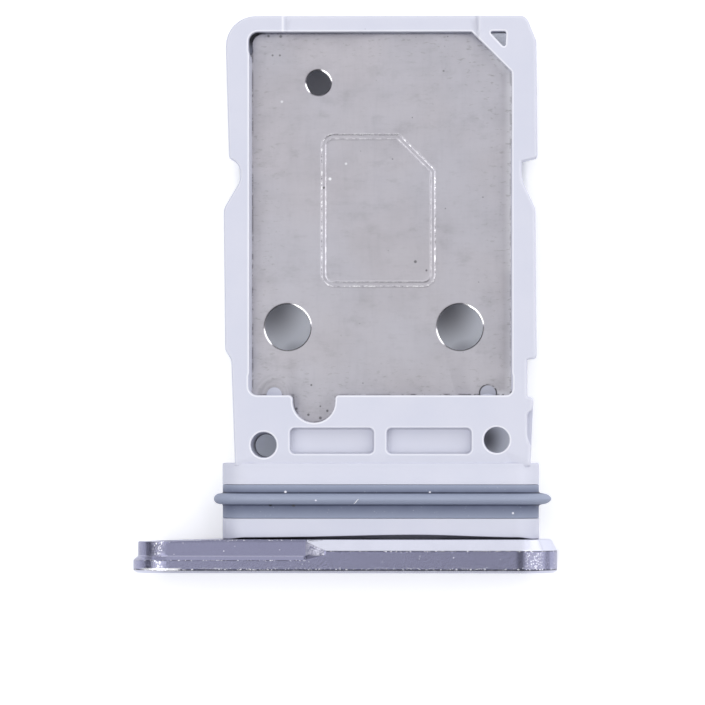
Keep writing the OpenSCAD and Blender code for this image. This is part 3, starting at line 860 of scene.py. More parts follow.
def cap_edges(finish, x, y):
    """Paints the cap's edges: painted dark reflections behind the front chamfer and along the bright band,
    painted shade at the rebate's step and in a triangle under the run-out, bright chips on every edge, a
    painted highlight along the front chamfer at the pin-hole end and a faint one on the rebate's edge."""
    chips = finish.noise(15.0, 2.0, 0.7, shift=(1, 2, 2))
    outside = finish.near((CAP_X - CAP_HALF, 0, 0), 0.9, 0.91)
    front = finish.band(y, CAP_CHAMFER + 0.014, 0.02, 0.045) * (1 - outside)
    back = finish.band(y, CAP_D - BAND - 0.01, 0.014, 0.03) * x.over(RUN_OUT[1] - 0.05, RUN_OUT[1] + 0.05)
    step = finish.band(y, REBATE_Y[0] + 0.005, 0.008, 0.02) * x.over(RUN_OUT[0] + 0.2, RUN_OUT[0] - 0.1)
    dashes = finish.noise(3.0, 2.0, 0.7, stretch=(1, 0.2, 1)).over(0.4, 0.55)
    # Painted dark reflections along the front chamfer and the bright band, and painted shade at the rebate's
    # step
    finish.paint(front.either(back * 0.7).either(step * (dashes * 0.5 + 0.3)) * 0.85, EDGE_SHADE)
    # Painted shade in the triangle under the run-out
    rising = (x - RUN_OUT[0]) * (0.18 / (RUN_OUT[1] - RUN_OUT[0])) + REBATE_Y[0]
    under = (y - rising).over(0.0, 0.04) * y.over(0.63, 0.6) * x.over(RUN_OUT[0] - 0.02, RUN_OUT[0] + 0.06)
    finish.paint(under * x.over(RUN_OUT[1] + 0.02, RUN_OUT[1] - 0.05) * 0.6, (0.06, 0.06, 0.1))
    # Painted highlight along the front chamfer at the pin-hole end, broken up like the chips, which are wear
    gleam = finish.band(x, -6.3, 0.5, 0.75) * finish.band(y, CAP_CHAMFER + 0.03, 0.035, 0.06)
    chips_and_gleam = (finish.mark() * chips.over(0.55, 0.61)).either(gleam * chips.over(0.25, 0.38))
    rear = y.over(CAP_D - 0.05, CAP_D - 0.02)
    finish.paint(chips_and_gleam.either((back + step + rear) * chips.over(0.58, 0.64)), CHIP_AND_GLEAM)
    # Painted highlight on the rebate's edge
    lit = finish.band(y, REBATE_Y[1] + 0.01, 0.01, 0.03) * x.over(RUN_OUT[0], RUN_OUT[0] - 0.1)
    finish.paint(lit * 0.25, (0.6, 0.6, 0.72))


def polished_cap(look):
    """Bands cut bright after anodising, the front one darker by painted shade, with faint cutter's lines
    along the cap.
    """
    finish = Finish("bright_cut", look.bright, Metallic=1.0)
    lines = finish.noise(30.0, 2.0, 0.6, stretch=(0.05, 1, 1))
    finish.paint(finish.noise(1.3, 3.0, 0.6).over(0.35, 0.7) * 0.5, (0.59, 0.6, 0.7))
    # Painted shade on the front chamfer
    finish.paint(finish.axis("Y").over(CAP_CHAMFER + 0.03, CAP_CHAMFER) * 0.4, (0.35, 0.35, 0.44))
    return finish.wear(Roughness=0.16 + lines * 0.08, Normal=finish.bump(lines, 0.12, 0.002))


def milled_cap():
    """Run-out of the rebate, brighter towards its point, with coarse cutter marks across it."""
    finish = Finish("milled_cut", (0.17, 0.17, 0.24), Metallic=1.0)
    marks = finish.noise(13.0, 3.0, 0.75, stretch=(0.6, 1, 1))
    towards_point = finish.axis("X").over(RUN_OUT[0], RUN_OUT[0] + 0.45) * 0.75 + 0.25
    finish.paint(marks.over(0.35, 0.65) * towards_point, FROST)
    return finish.wear(Roughness=0.3 + marks * 0.14, Normal=finish.bump(marks, 0.8, 0.02))


def grey_silicone(look):
    """Matt silicone: fine mould grain, soft clouds, painted shade in the folds beside the lip and on the
    lower band, and dust that clings to it.
    """
    finish = Finish("grey_silicone", look.colour, IOR=1.42)
    grain = finish.noise(22.0, 2.0, 0.6)
    clouds = finish.noise(1.1, 3.0, 0.6)
    dust = finish.dots(9.0, 0.16, 0.16).either(finish.dots(15.0, 0.2, 0.12, (4, 1, 2)))
    finish.paint(clouds * 0.3, (0.35, 0.39, 0.5))
    # Painted shade in the folds beside the lip and on the lower band, near black deep in the fold
    fold = finish.mark() * (0.7 + clouds * 0.3)
    finish.paint(fold.math("MINIMUM", 1.0), look.dirt_and_shade)
    finish.paint((fold - 0.95).either(0.0) * 1.2, (0.02, 0.02, 0.03))
    finish.paint(dust * 0.6, look.dust)
    finish.speckle(SEAL_SPECKS, 1.0, 1.1)
    return finish.wear(Roughness=0.52 + grain * 0.14, Normal=finish.bump(grain, 0.4, 0.006))


def lint():
    """White fibre of lint."""
    finish = Finish("lint", (0.86, 0.87, 0.92), Roughness=0.8)
    finish.paint(finish.noise(12.0), (0.7, 0.71, 0.76))
    return finish.wear()


def floor_white(look):
    """Pale floor that catches the tray's shadow. The camera and the mirrors see it glow, less under the
    tray than beside it, and a soft shade lies under the holes."""
    finish = Finish("floor", look.floor, Roughness=0.9, Emission_Strength=look.lift)
    finish.paint(finish.noise(0.4, 2.0, 0.5) * 0.04, (0.8, 0.81, 0.84))
    seen, mirrored, passed = (finish.node("ShaderNodeLightPath", {}, {}, f"Is {kind} Ray")
                              for kind in ("Camera", "Glossy", "Transmission"))
    seen = seen.either(mirrored).either(passed)
    beside = (finish.axis("X") - MID_X).math("ABSOLUTE").over(4.7, 5.1)
    beyond = (finish.axis("Y") - 11.2).math("ABSOLUTE").over(7.4, 7.7)
    open_floor = beside.either(beyond)
    dim = 0.0
    for place, (inner, outer), strength in FLOOR_SHADES:
        dim = (finish.near((*place, CAP_LOW[2]), inner, outer) * strength).either(dim)
    dim = dim * (1 - open_floor)
    glow = finish.mix(open_floor, (0.78, 0.85, 1.0), (1, 1, 1))
    white = finish.mix(seen * (open_floor * 0.68 + 0.32) * (1 - dim), (0, 0, 0), glow)
    finish.paint(dim, look.shade)
    return finish.wear(Emission_Color=white)


def scoop(points):
    """How far the ledge on the right flank is cut back: down to the waist between two rounded ends."""
    x, y = points.T
    inner = WAIST_X + 0.01 + 0.2 * ease(y, 4.75, 4.0) + 0.4 * ease(y, 5.4, 5.8)
    return np.where(x > MID_X, np.clip(x - inner, 0, None), 0) * (y < BUMP_Y)


def footed(rows, root=FOOT_ROOT):
    """Pocket wall whose long sides slope in towards the sheet: below the foot's top the wall is moved
    to a line that leans from the rim to the foot."""
    low = ramp(rows[..., 2], FOOT_TOP, SHEET_T) ** 1.7
    below = rows[..., 2] <= FOOT_TOP
    for side, line in ((-1, LEFT_WALL), (1, RIGHT_WALL)):
        x, y = rows[..., 0], rows[..., 1]
        window = ease(y, root - 0.08, root + 0.04) * ease(y, FOOT_TIP[side], FOOT_TIP[side] - 0.1)
        gap = np.clip((x - line) * side + FOOT_IN[side] * low, 0, None) * (np.abs(x - MID_X) > 3.5)
        rows[..., 0] = x - side * gap * window * below
    return rows


def moulding_half(side, look):
    """One half of the frame, worked out face up: a level land between the outline and the pocket, with
    a quarter round at every rim. The lower half's pocket is turned over about the middle line."""
    skin = Skin()
    edge = look.edge_radius / MM
    lip = look.rim_radius / MM
    top = FRAME_TOP
    part = PARTING * side
    steps = np.linspace(-0.5, 1, 10) * BAR_RAMP
    lines = np.concatenate((BAR[0] + steps, BAR[1] - steps))

    def placed(outline):
        """The frame's own outline, turned over for the lower half, whose pocket isn't."""
        return turned_over(outline) if side < 0 else outline

    outline = crossed(placed(spaced(rounded(FRAME_CORNERS))), lines)
    shelf = scoop(outline[0]) if side > 0 else 0
    lean = WALL_LEAN + shelf
    round_in, round_up, fade = rim(edge, top)
    offsets = [0, -0.3 * WALL_LEAN, -0.5 * WALL_LEAN, -0.5 * WALL_LEAN - shelf, -lean]
    offsets += [-lean - step for step in round_in]
    heights = [part, 0.22, SHELF_Z, SHELF_Z + 0.004, top - edge] + round_up
    outer = wall(outline, offsets, heights)
    # A faint painted highlight on the outer rim
    skin.grid(outer, mark=np.array([0] * 5 + fade) * 0.1)

    round_out, round_up, fade = rim(lip, top)
    pocket = wall(crossed(spaced(rounded(POCKET_CORNERS)), lines),
                  [0] * 6 + round_out,
                  [part, SHEET_T, 0.4, FOOT_TOP, FOOT_TOP + 0.003, top - lip] + round_up)
    pocket = footed(pocket)
    # Painted highlight on the pocket's rim
    skin.grid(pocket, mark=np.array([0] * 6 + fade) * 0.65)

    through = []
    for centre in ROUND_HOLES:
        narrow = 0.055 if side < 0 and centre[0] < MID_X else 0
        hole = placed(circle((centre[0] + narrow, centre[1] - narrow / 2), ROUND_HOLE_R - narrow))
        through.append(wall(hole, [0.14, 0, 0] + round_out, [part, part, top - lip] + round_up))
    if side > 0:
        web = rounded(WEB_HOLE_CORNERS)
        through.append(wall(web, [0.03, 0, 0] + round_out, [part, part, top - lip] + round_up))
    for rows in through:
        # Painted shade on the ledge in the lower half's holes; painted highlight on the holes' rims
        dark = -0.98 * (side < 0)
        skin.grid(rows, mark=[dark, dark, 0] + [0.65 * level for level in fade])
    blind = []
    floor = top - look.recess_depth / MM
    foot_in, foot_down = quarter((-0.02, floor + 0.05), (-0.07, floor))
    for span in RECESSES:
        recess = spaced(box_outline(span, RECESS_Y, RECESS_R))
        rows = wall(recess, foot_in[::-1] + [-0.02, 0] + round_out,
                    foot_down[::-1] + [floor + 0.05, top - lip] + round_up)
        blind.append(rows)
        # Painted shade on the recess's floor and foot; painted highlight on its rim
        skin.face([rows[0, :, :2]], floor, mark=-0.045)
        skin.grid(rows, mark=[-0.045] + [-0.18] * RIM_STEPS + [-0.12] + [0.4 * level for level in fade])

    columns = np.array([(x, y) for x in lines for y in np.linspace(POCKET_TIP + 0.06, TIP_Y - 0.12, 9)])
    skin.face([rows[-1, :, :2] for rows in [outer, pocket] + through + blind], top, columns)
    skin.face([rows[0, :, :2] for rows in [outer, pocket] + through], part)

    def lowered(points, marks):
        """Lowers the middle of the tip bar, paints a highlight on the upper edges of its two steps and shade
        at their feet, sinks the root into the plug and turns the lower half over."""
        x, y, z = points.T
        along = np.maximum(BAR[0] - x, x - BAR[1]) / BAR_RAMP
        middle = ease(along, 0, -1)
        bar = (y > POCKET_TIP - 0.3) * ramp(z, 0.45, 0.6)
        glint = np.where(x < MID_X, 0.6, 0.22)
        marks = marks + glint * bar * np.exp(-((along + 0.05) / 0.3) ** 2)
        marks = marks - 0.13 * bar * np.exp(-((along + 0.95) / 0.3) ** 2)
        deep = 0.12 + 0.1 * ease(np.abs(x - MID_X), 4.2, 4.7)
        root = deep * ramp(y, PLUG_END - 0.06, PLUG_END - 0.16) * ramp(z, 0.45, 0.6)
        points = np.column_stack((x, y, z - look.bar_drop / MM * middle * bar - root))
        return (points if side > 0 else points * (-1, 1, -1) + (2 * MID_X, 0, 0)), marks

    skin.change(lowered)
    return skin.mesh("moulding half")


def moulded_plug():
    """Plug: an oval block with the seal's groove; its face towards the cap is hollowed by a shallow arc."""
    skin = Skin()
    groove = (1.86, 3.03)
    back_in, back_along = quarter((PLUG_R, PLUG_END - 0.05), (PLUG_R - 0.05, PLUG_END))
    front_in = PLUG_R - 0.04 + 0.04 * np.sin(np.linspace(0, np.pi / 2, RIM_STEPS + 1))
    front_along = CAP_D + 0.04 - 0.04 * np.cos(np.linspace(0, np.pi / 2, RIM_STEPS + 1))
    profile = [(radius, CAP_D) for radius in (0, 0.4, 0.5, 0.62, 0.72, 0.8)]
    profile += list(zip(front_in, front_along))
    profile += [(PLUG_R, groove[0]), (PLUG_R - SEAL_T, groove[0]), (PLUG_R - SEAL_T, groove[1]),
                (PLUG_R, groove[1])]
    profile += [(PLUG_R, along) for along in np.linspace(groove[1], PLUG_END - 0.05, 12)[1:]]
    profile += list(zip(back_in, back_along)) + [(0, PLUG_END)]
    rows = carried(profile, long_round(PLUG_HALF, np.linspace(-PLUG_HALF, PLUG_HALF, 61)), PLUG_X)
    # Painted shade on the face towards the cap, darker to the left, for the gap between them
    dirt_and_shade = -0.72 * (rows[:, 0, 1] < CAP_D + 0.012)[:, None] * (1 + 0.3 * ease(rows[..., 0], -0.8, -1.8))
    deep = ramp(np.array(profile)[:, :1], 0.5, 0.72)
    away = (rows[..., 0] - 2.4) / np.where(rows[..., 0] > 2.4, 2.3, 3.2)
    bow = 0.055 + 0.097 * np.exp(-away ** 2)
    bow *= 0.08 + 0.92 * ease(rows[..., 0], -4.05, -3.45) * ease(rows[..., 0], 6.45, 5.9)
    rows[..., 1] += bow * ramp(rows[..., 1], groove[0], CAP_D) * deep
    rows[..., 2] *= 1 - (1 - (FRAME_TOP - 0.0005) / PLUG_R) * ease(rows[..., 1], 3.1, PLUG_END - 0.1)
    skin.grid(rows, mark=dirt_and_shade.ravel())
    return skin.mesh("plug")


def moulded_pin(spot, mark):
    """Round plug of moulding that fills a hole in the sheet and stands a little proud of both sides."""
    skin = Skin()
    high = SHEET_T + 0.02
    outline = circle(spot, PIN_R)
    offsets = [-PIN_R, -0.02, 0, 0, -0.02, -PIN_R]
    heights = [-high, -high, 0.01 - high, high - 0.01, high, high]
    # Painted shade on both faces, and darker on the sides where the pin meets the sheet
    skin.grid(wall(outline, offsets, heights), mark=[mark, mark, -0.6, -0.6, mark, mark])
    return skin.mesh("pin")


def sheet_skin(look):
    """Stamped sheet: two level faces, sloped rims at the punched holes, and the card outline pressed
    into the upper face as a flat-bottomed groove with a low burr along both of its edges."""
    skin = Skin()
    t = SHEET_T
    outline = spaced(rounded(SHEET_CORNERS), 0.4)
    edge = 0.03
    in_up, up = quarter((0, t - edge), (edge, t))
    offsets = [-step for step in in_up[::-1]] + [0, 0] + [-step for step in in_up]
    heights = [-height for height in up[::-1]] + [edge - t, t - edge] + up
    rows = wall(outline, offsets, heights)
    # The mark on the edge's rounding paints a highlight there and makes it smoother
    skin.grid(rows, mark=rubbed(rows[:, 0, 2], t - edge, t))
    faces = {1: [rows[-1, :, :2]], -1: [rows[0, :, :2]]}

    for centre, radius in [(spot, BIG_HOLE_R) for spot in BIG_HOLES] + [(SMALL_HOLE, SMALL_HOLE_R)]:
        hole, marks = punched(centre, radius, look.rim_width / MM)
        skin.grid(hole, mark=marks)
        faces[1].append(hole[-1, :, :2])
        faces[-1].append(hole[0, :, :2])

    width = look.groove_width / MM
    depth = look.groove_depth / MM
    outer = card_outline(0)
    inner = card_outline(width)
    burr = np.array([0, 0, 0.4, 0.5, 0.3, -0.4, -0.9, -1, -1])
    # Marks of painted highlight along the burrs, weaker on the inner edge
    marks = np.array([0, 0, 0.2, 0.7, 0.8, 0.6, 0.1, 0, 0])
    across = np.array([-0.06, -0.03, -0.015, 0, 0.01, 0.025, 0.04, 0.05, 0.07]) / width
    across = np.concatenate((across, 1 - across[::-1]))
    rise = depth * np.concatenate((burr, burr[::-1]))
    groove = outer + across[:, None, None] * (inner - outer)
    level = np.broadcast_to((t + rise)[:, None, None], (*groove.shape[:2], 1))
    groove = np.concatenate((groove, level), -1)
    skin.grid(groove, mark=np.concatenate((marks, 0.45 * marks[::-1])))
    skin.face(faces[1] + [groove[0, :, :2]], t)
    skin.face([groove[-1, :, :2]], t)
    skin.face(faces[-1], -t)
    return skin.mesh("sheet")


def punched(centre, radius, width):
    """Wall of a punched hole, from the lower face to the upper: its rim is a slope that is widest at the
    upper right and lower left and elsewhere narrow and steep. Its marks paint a highlight on the wide part
    and shade on the narrow part. Returns rows and marks."""
    outline = circle(centre, radius)
    turn = np.arctan2(outline[1][:, 1], outline[1][:, 0])
    wide = facing(turn, 0.75, 0.2, 0.55) + 0.5 * facing(turn, -2.7, 0.1, 0.42)
    reach = width * (0.3 + 0.33 * wide)
    inward = np.array([1, 1, 1, 0.98, 0.92, 0.1, 0])
    shifts = list(-inward[:, None] * reach) + [0.03]
    shifts[0] = shifts[0] + 0.03
    rows = wall(outline, shifts, [-SHEET_T, 0.03 - SHEET_T] + [SHEET_T] * 6)
    rows[2:7, :, 2] -= np.array([0.5, 0.42, 0.36, 0.05, 0])[:, None] * reach
    # Painted highlight where the rim is wide, painted shade where it is narrow
    glow = np.clip((wide - 0.1) / 0.15, 0, 1) - 0.9 * np.clip((0.1 - wide) / 0.08, 0, 1)
    along = np.array([0, 0, 0, 0.3, 1, 1, 0.5, 0])
    return rows, (along[:, None] * glow).ravel()


def facing(turn, middle, reach, soft):
    """1 for directions within reach of the middle one, falling to 0 over the soft part, in radians."""
    away = np.abs((turn - middle + np.pi) % (2 * np.pi) - np.pi)
    return ease(away, reach + soft, reach)


def rubbed(heights, low, high):
    """1 halfway round a rim between two heights, 0 at both of its ends."""
    t = ramp(heights, low, high)
    return 4 * t * (1 - t)


def card_outline(inset):
    """Outline of a card with one cut corner, moved in by inset and evenly pointed."""
    shift = inset * math.tan(math.pi / 8)
    radius = ICON_R - inset
    return rounded([
        (ICON_X[0] + inset, ICON_Y[0] + inset, radius),
        (ICON_X[1] - inset, ICON_Y[0] + inset, radius),
        (ICON_X[1] - inset, ICON_Y[1] - ICON_CUT - shift, 0.12),
        (ICON_X[1] - ICON_CUT - shift, ICON_Y[1] - inset, 0.12),
        (ICON_X[0] + inset, ICON_Y[1] - inset, radius),
    ])[0]


def cap_depth(x, y, look):
    """Depth of the rebate: full to the left, rising in a straight ramp to nothing at the run-out's right
    end, with a sloped step on the side of the outer face that climbs and narrows along the ramp."""
    climb = ramp(x, RUN_OUT[0] + 0.04, RUN_OUT[1])
    low = REBATE_Y[0] + 0.18 * climb
    high = REBATE_Y[1] + 0.05 * ramp(x, RUN_OUT[0] - 0.05, RUN_OUT[0] + 0.07) + 0.012 * climb
    hollow = 1 + 1.5 * ramp(x, RUN_OUT[0] - 0.05, RUN_OUT[0] + 0.1)
    step = np.clip((y - low) / (high - low), 0, 1) ** hollow
    fall = np.maximum(ramp(x, CAP_X - CAP_HALF, CAP_LOW[0] + 0.3), ramp(y, high, CAP_D - 0.1))
    return look.rebate / MM * (1 - climb) * step * (0.62 + 0.38 * fall)


def cap_skin(look):
    """Cap: at each place along the oval the radius is the soft minimum of the round itself, the front
    chamfer, the bright band's slope and the rebate's floor. The two faces are flat, with the pin hole."""
    skin = Skin()
    chamfer = look.chamfer / MM
    slope = look.back_drop / MM / BAND
    dense = np.arange(RUN_OUT[0] - 0.14, RUN_OUT[1] + 0.1, 0.02) - CAP_X
    spine = np.unique(np.concatenate((np.linspace(-CAP_HALF, CAP_HALF, 61), dense)))
    path = long_round(CAP_HALF, spine, 56)
    y = np.unique(np.concatenate((
        np.linspace(0, chamfer, 7), chamfer + np.array([0.006, 0.014, 0.026, 0.05]),
        np.linspace(0.16, 0.42, 5), np.arange(0.43, 0.67, 0.012), np.linspace(0.68, CAP_D - BAND - 0.02, 4),
        CAP_D - BAND + np.arange(-0.014, 0.03, 0.007), np.linspace(CAP_D - BAND + 0.05, CAP_D - 0.02, 16),
        CAP_D - np.array([0.013, 0.006, 0]))))
    x = CAP_X + path[0] + CAP_R * path[1][:, 0]
    x, along = np.meshgrid(x, y)
    front = CAP_R - chamfer + along
    shallow = 0.75 + 0.25 * ramp(x, *RUN_OUT)
    band = CAP_R - np.minimum(slope * (along - CAP_D + BAND), look.back_drop / MM * shallow)
    floor = CAP_R - cap_depth(x, along, look)
    radius = soft_min(soft_min(front, band, 0.005), soft_min(CAP_R, floor, 0.0025), 0.005)
    radius = np.minimum(radius, CAP_R) - 0.03 * ramp(along, CAP_D - 0.012, CAP_D) ** 2
    feet, ways = path
    rows = np.stack((CAP_X + feet + radius * ways[:, 0], along, radius * ways[:, 1]), -1)

    def middle(values):
        """Mean of the four corners of each face."""
        pairs = values[1:] + values[:-1]
        return (pairs + np.roll(pairs, -1, 1)) / 4

    x, along = middle(x), middle(along)
    bright = (middle(band) < middle(floor) - 0.002) & (along > CAP_D - BAND)
    bright |= along < chamfer
    climb = (x > RUN_OUT[0] + 0.02) & (x < RUN_OUT[1]) & (middle(CAP_R - floor) > 0.012) & (along > 0.6)
    looks = np.where(bright, 1, np.where(climb, 2, 0)).ravel()
    mark = np.exp(-((y - chamfer - 0.04) / 0.028) ** 2)
    skin.grid(rows, looks, mark)

    hole = look.hole_radius / MM
    sink = look.sink_radius / MM
    outline = circle((CAP_X - CAP_HALF, 0), hole)
    steps = [sink - hole + 0.015, sink - hole, 0.03, 0.006, 0, 0, 0.02]
    depths = [0, 0.012, 0.14, 0.165, 0.2, CAP_D - 0.02, CAP_D]
    bore = wall(outline, steps, depths)[..., [0, 2, 1]]
    skin.grid(bore, looks_of_bore(bore))
    skin.face([rows[0][:, [0, 2]], bore[0][:, [0, 2]]], 0, upright=True)
    skin.face([rows[-1][:, [0, 2]], bore[-1][:, [0, 2]]], CAP_D, upright=True)

    def worn_back(points, marks):
        """Lets the back fall off a little towards the pin-hole end."""
        fall = 0.08 * ease(points[:, 0], -4.0, CAP_LOW[0] + 0.2) * ramp(points[:, 1], 0.75, CAP_D)
        return points - np.outer(fall, (0, 1, 0)), marks

    skin.change(worn_back)
    return skin.mesh("cap")


def looks_of_bore(rows):
    """The countersink is cut bright, the bore behind it is blasted."""
    count, width = rows.shape[:2]
    return np.repeat(np.arange(count - 1) < 3, width).astype(int)


def seal_skin(look):
    """Seal: a profile with a flat band and one round lip, carried round the plug's oval. The lip sits a
    little to the right of the band."""
    skin = Skin()
    inner = PLUG_R - SEAL_T + 0.005
    band = PLUG_R - 0.008
    fillet = look.root_fillet / MM
    lip = SEAL_HIGH[2]
    y = (1.87, 2.34, 2.72, 3.02)
    profile = rounded([
        (inner, y[0], 0.01), (band, y[0], 0.03), (band, y[1], fillet), (lip, y[1], 0.185),
        (lip, y[2], 0.185), (band, y[2], fillet), (band, y[3], 0.03), (inner, y[3], 0.01),
    ])[0]
    rows = carried(profile, long_round(PLUG_HALF, np.linspace(-PLUG_HALF, PLUG_HALF, 61), 44), PLUG_X)
    rows[..., 0] += LIP_SHIFT * ramp(profile[:, 0], band, band + 0.1)[:, None]
    taper = (ramp(profile[:, 0], band + 0.1, lip) * ((y[1] + y[2]) / 2 - profile[:, 1]))[:, None]
    rows[..., 1] += taper * (0.15 + 0.25 * ease(rows[..., 0], -4.2, -3.5))
    # Marks of painted shade: in the folds beside the lip, in a crease line on each side of it, and over the
    # lower band
    apart = np.maximum(y[1] - profile[:, 1], profile[:, 1] - y[2])
    fold = ease(apart, 0.3, 0.0) + np.exp(-((profile[:, 1] - y[2] - 0.025) / 0.022) ** 2)
    fold += 0.4 * np.exp(-((profile[:, 1] - y[1] + 0.02) / 0.02) ** 2)
    fold = fold * ease(profile[:, 0], band + 0.2, band + 0.02) + 0.22 * (profile[:, 1] < y[1])
    skin.grid(rows, mark=fold, ring=True)
    return skin.mesh("seal")




def fibre(points, thickness):
    """Thin fibre along a few given points: a six-sided tube round their Catmull-Rom curve."""
    points = np.array(points, float)
    padded = np.vstack((2 * points[0] - points[1], points, 2 * points[-1] - points[-2]))
    t = np.linspace(0, len(points) - 1 - 1e-6, 8 * (len(points) - 1) + 1)
    k = t.astype(int)
    u = (t - k)[:, None]
    a, b, c, d = (padded[k + i] for i in range(4))
    path = 2 * b + (c - a) * u + (2 * a - 5 * b + 4 * c - d) * u ** 2 + (3 * b - a - 3 * c + d) * u ** 3
    path = 0.5 * path
    ahead = unit(np.gradient(path, axis=0))
    across = unit(np.cross(ahead, (0.1, 0.2, 1.0)))
    up = np.cross(across, ahead)
    turn = np.arange(6) * np.pi / 3
    ring = across[:, None] * np.cos(turn)[None, :, None] + up[:, None] * np.sin(turn)[None, :, None]
    radius = thickness / 2 * np.sin(np.linspace(0, np.pi, len(path)))[:, None, None] ** 0.3
    return path[:, None] + ring * radius


class TRAY_OT_stage(bpy.types.Operator):
    """Makes the camera, the floor, the lamps and the world"""

    bl_idname = "tray.stage"
    bl_label = "Stage"

    def execute(self, context):
        look = context.scene.tray_studio
        add_camera(context)
        add_floor(context, look)
        add_lamps(context)
        world = bpy.data.worlds.new("soft white")
        world.use_nodes = True
        back = world.node_tree.nodes["Background"]
        back.inputs["Color"].default_value = (0.97, 0.98, 1.0, 1)
        back.inputs["Strength"].default_value = look.ambient
        context.scene.world = world
        context.scene.view_settings.view_transform = "Standard"
        return {"FINISHED"}


# Camera: far above the tray and nearly straight over it. The picture is 705 pixels wide, and one
# millimetre on the frame's upper face takes 29.25 of them.
PICTURE_WIDTH = 705
PIXELS_PER_MM = 29.25
CAMERA_HEIGHT = 260.0
CAMERA_TARGET = (0.243, 7.54)
CAMERA_LEAN = (0.028, -0.006)


def add_camera(context):
    """Camera that looks down at the target, leaning over by a small share of its height."""
    data = bpy.data.cameras.new("camera")
    data.sensor_width = 36.0
    data.lens = data.sensor_width * (CAMERA_HEIGHT - FRAME_TOP) * PIXELS_PER_MM / PICTURE_WIDTH
    data.clip_start = 0.001
    camera = bpy.data.objects.new("camera", data)
    target = Vector((*CAMERA_TARGET, FRAME_TOP)) * MM
    way = Vector((*CAMERA_LEAN, 1)) * (CAMERA_HEIGHT - FRAME_TOP) * MM
    camera.location = target + way
    camera.rotation_euler = (math.atan2(way.y, way.z) * -1, math.atan2(way.x, way.z), 0)
    context.scene.collection.objects.link(camera)
    context.scene.camera = camera


def add_floor(context, look):
    """Large floor just under the cap, which is the lowest part of the tray."""
    half = 600 * MM
    low = CAP_LOW[2] * MM
    mesh = bpy.data.meshes.new("floor")
    mesh.from_pydata([(-half, -half, low), (half, -half, low), (half, half, low), (-half, half, low)],
                     [], [(0, 1, 2, 3)])
    mesh.materials.append(floor_white(look))
    floor = bpy.data.objects.new("floor", mesh)
    context.scene.collection.objects.link(floor)


# Softboxes: name, azimuth and elevation in degrees, distance and size in millimetres, brightness of
# its face, where 1 is as bright as white paper in the picture
SOFTBOXES = (
    ("overhead box", 135, 75, 220, 150, 150, 0.74),
    ("left box", 206, 50, 160, 200, 104, 1.57),
    ("right box", 18, 38, 160, 230, 236, 1.12),
    ("back box", 96, 28, 170, 190, 150, 0.75),
    ("front box", 270, 14, 220, 260, 90, 0.5),
)


def add_lamps(context):
    """Area lamps that face the tray's middle; a face shines at its power over four times its area."""
    for name, azimuth, elevation, distance, width, height, brightness in SOFTBOXES:
        data = bpy.data.lights.new(name, "AREA")
        data.shape = "RECTANGLE"
        data.size = width * MM
        data.size_y = height * MM
        data.energy = 4 * brightness * data.size * data.size_y
        lamp = bpy.data.objects.new(name, data)
        turn, lift = math.radians(azimuth), math.radians(elevation)
        way = Vector((math.cos(turn) * math.cos(lift), math.sin(turn) * math.cos(lift), math.sin(lift)))
        lamp.location = Vector((MID_X * MM, 9 * MM, 0)) + way * distance * MM
        lamp.rotation_euler = way.to_track_quat("Z", "Y").to_euler()
        context.scene.collection.objects.link(lamp)


class TRAY_OT_frame(bpy.types.Operator):
    """Makes the moulded frame with its plug and pins"""

    bl_idname = "tray.frame"
    bl_label = "Moulded frame"

    def execute(self, context):
        look = context.scene.tray_moulding
        parts = [moulding_half(1, look), moulding_half(-1, look), moulded_plug()]
        parts += [moulded_pin(spot, mark) for spot, mark in zip(PIN_SPOTS, PIN_SHADE)]
        mesh = fused("moulded_frame", parts)
        piece("moulded_frame", mesh, [white_moulding(look)], 32, ["tray_frame"])
        return {"FINISHED"}


class TRAY_OT_sheet(bpy.types.Operator):
    """Makes the stamped sheet that is the floor of both pockets"""

    bl_idname = "tray.sheet"
    bl_label = "Stamped sheet"

    def execute(self, context):
        look = context.scene.tray_sheet
        piece("stamped_sheet", sheet_skin(look), [stamped_steel(look)], 32, ["floor_plate"])
        return {"FINISHED"}


class TRAY_OT_cap(bpy.types.Operator):
    """Makes the metal end cap with its pin hole, rebate and bright band"""

    bl_idname = "tray.cap"
    bl_label = "End cap"

    def execute(self, context):
        look = context.scene.tray_cap
        materials = [blasted_cap(look), polished_cap(look), milled_cap()]
        piece("anodised_end_cap", cap_skin(look), materials, 28, ["end_cap"])
        return {"FINISHED"}




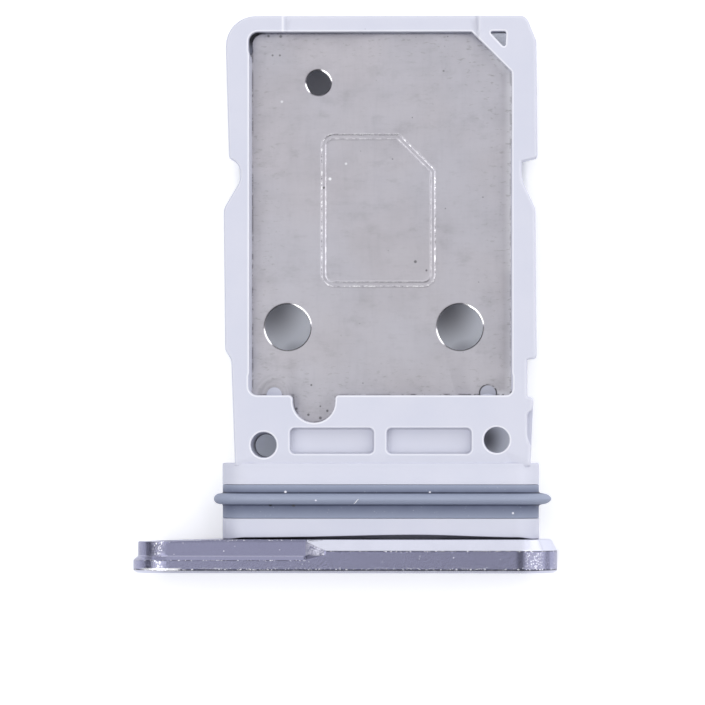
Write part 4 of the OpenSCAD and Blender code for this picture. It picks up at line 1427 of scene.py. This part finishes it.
class TRAY_OT_seal(bpy.types.Operator):
    """Makes the lipped seal and the fibre of lint on it"""

    bl_idname = "tray.seal"
    bl_label = "Seal"

    def execute(self, context):
        look = context.scene.tray_seal
        piece("lipped_seal", seal_skin(look), [grey_silicone(look)], 40, ["seal"])
        skin = Skin()
        for points, thickness in FIBRES:
            rows = fibre(points, thickness)
            skin.grid(np.concatenate((rows[:1].mean(1, keepdims=True).repeat(6, 1), rows,
                                      rows[-1:].mean(1, keepdims=True).repeat(6, 1))))
        piece("seal_lint", skin.mesh("lint"), [lint()], 60)
        return {"FINISHED"}


class TRAY_PT_pieces(bpy.types.Panel):
    """Sidebar panel that lists the pieces and their sizes and colours"""

    bl_idname = "TRAY_PT_pieces"
    bl_label = "Card tray"
    bl_space_type = "VIEW_3D"
    bl_region_type = "UI"
    bl_category = "Card tray"

    def draw(self, context):
        for operator, group in STEPS:
            box = self.layout.box()
            box.operator(operator.bl_idname)
            look = getattr(context.scene, group)
            for name in type(look).__annotations__:
                box.prop(look, name)


LOOKS = {
    "tray_studio": StudioLook,
    "tray_moulding": MouldingLook,
    "tray_sheet": SheetLook,
    "tray_cap": CapLook,
    "tray_seal": SealLook,
}
STEPS = (
    (TRAY_OT_stage, "tray_studio"),
    (TRAY_OT_frame, "tray_moulding"),
    (TRAY_OT_sheet, "tray_sheet"),
    (TRAY_OT_cap, "tray_cap"),
    (TRAY_OT_seal, "tray_seal"),
)


def register():
    """Registers the property groups, operators and panel."""
    for group in LOOKS.values():
        bpy.utils.register_class(group)
    for operator, _ in STEPS:
        bpy.utils.register_class(operator)
    bpy.utils.register_class(TRAY_PT_pieces)
    for name, group in LOOKS.items():
        setattr(bpy.types.Scene, name, PointerProperty(type=group))


def unregister():
    """Removes what register added."""
    for name in LOOKS:
        delattr(bpy.types.Scene, name)
    bpy.utils.unregister_class(TRAY_PT_pieces)
    for operator, _ in STEPS:
        bpy.utils.unregister_class(operator)
    for group in LOOKS.values():
        bpy.utils.unregister_class(group)


def main():
    """Makes the stage and every piece."""
    register()
    bpy.ops.tray.stage()
    bpy.ops.tray.frame()
    bpy.ops.tray.sheet()
    bpy.ops.tray.cap()
    bpy.ops.tray.seal()


if __name__ == "__main__":
    main()
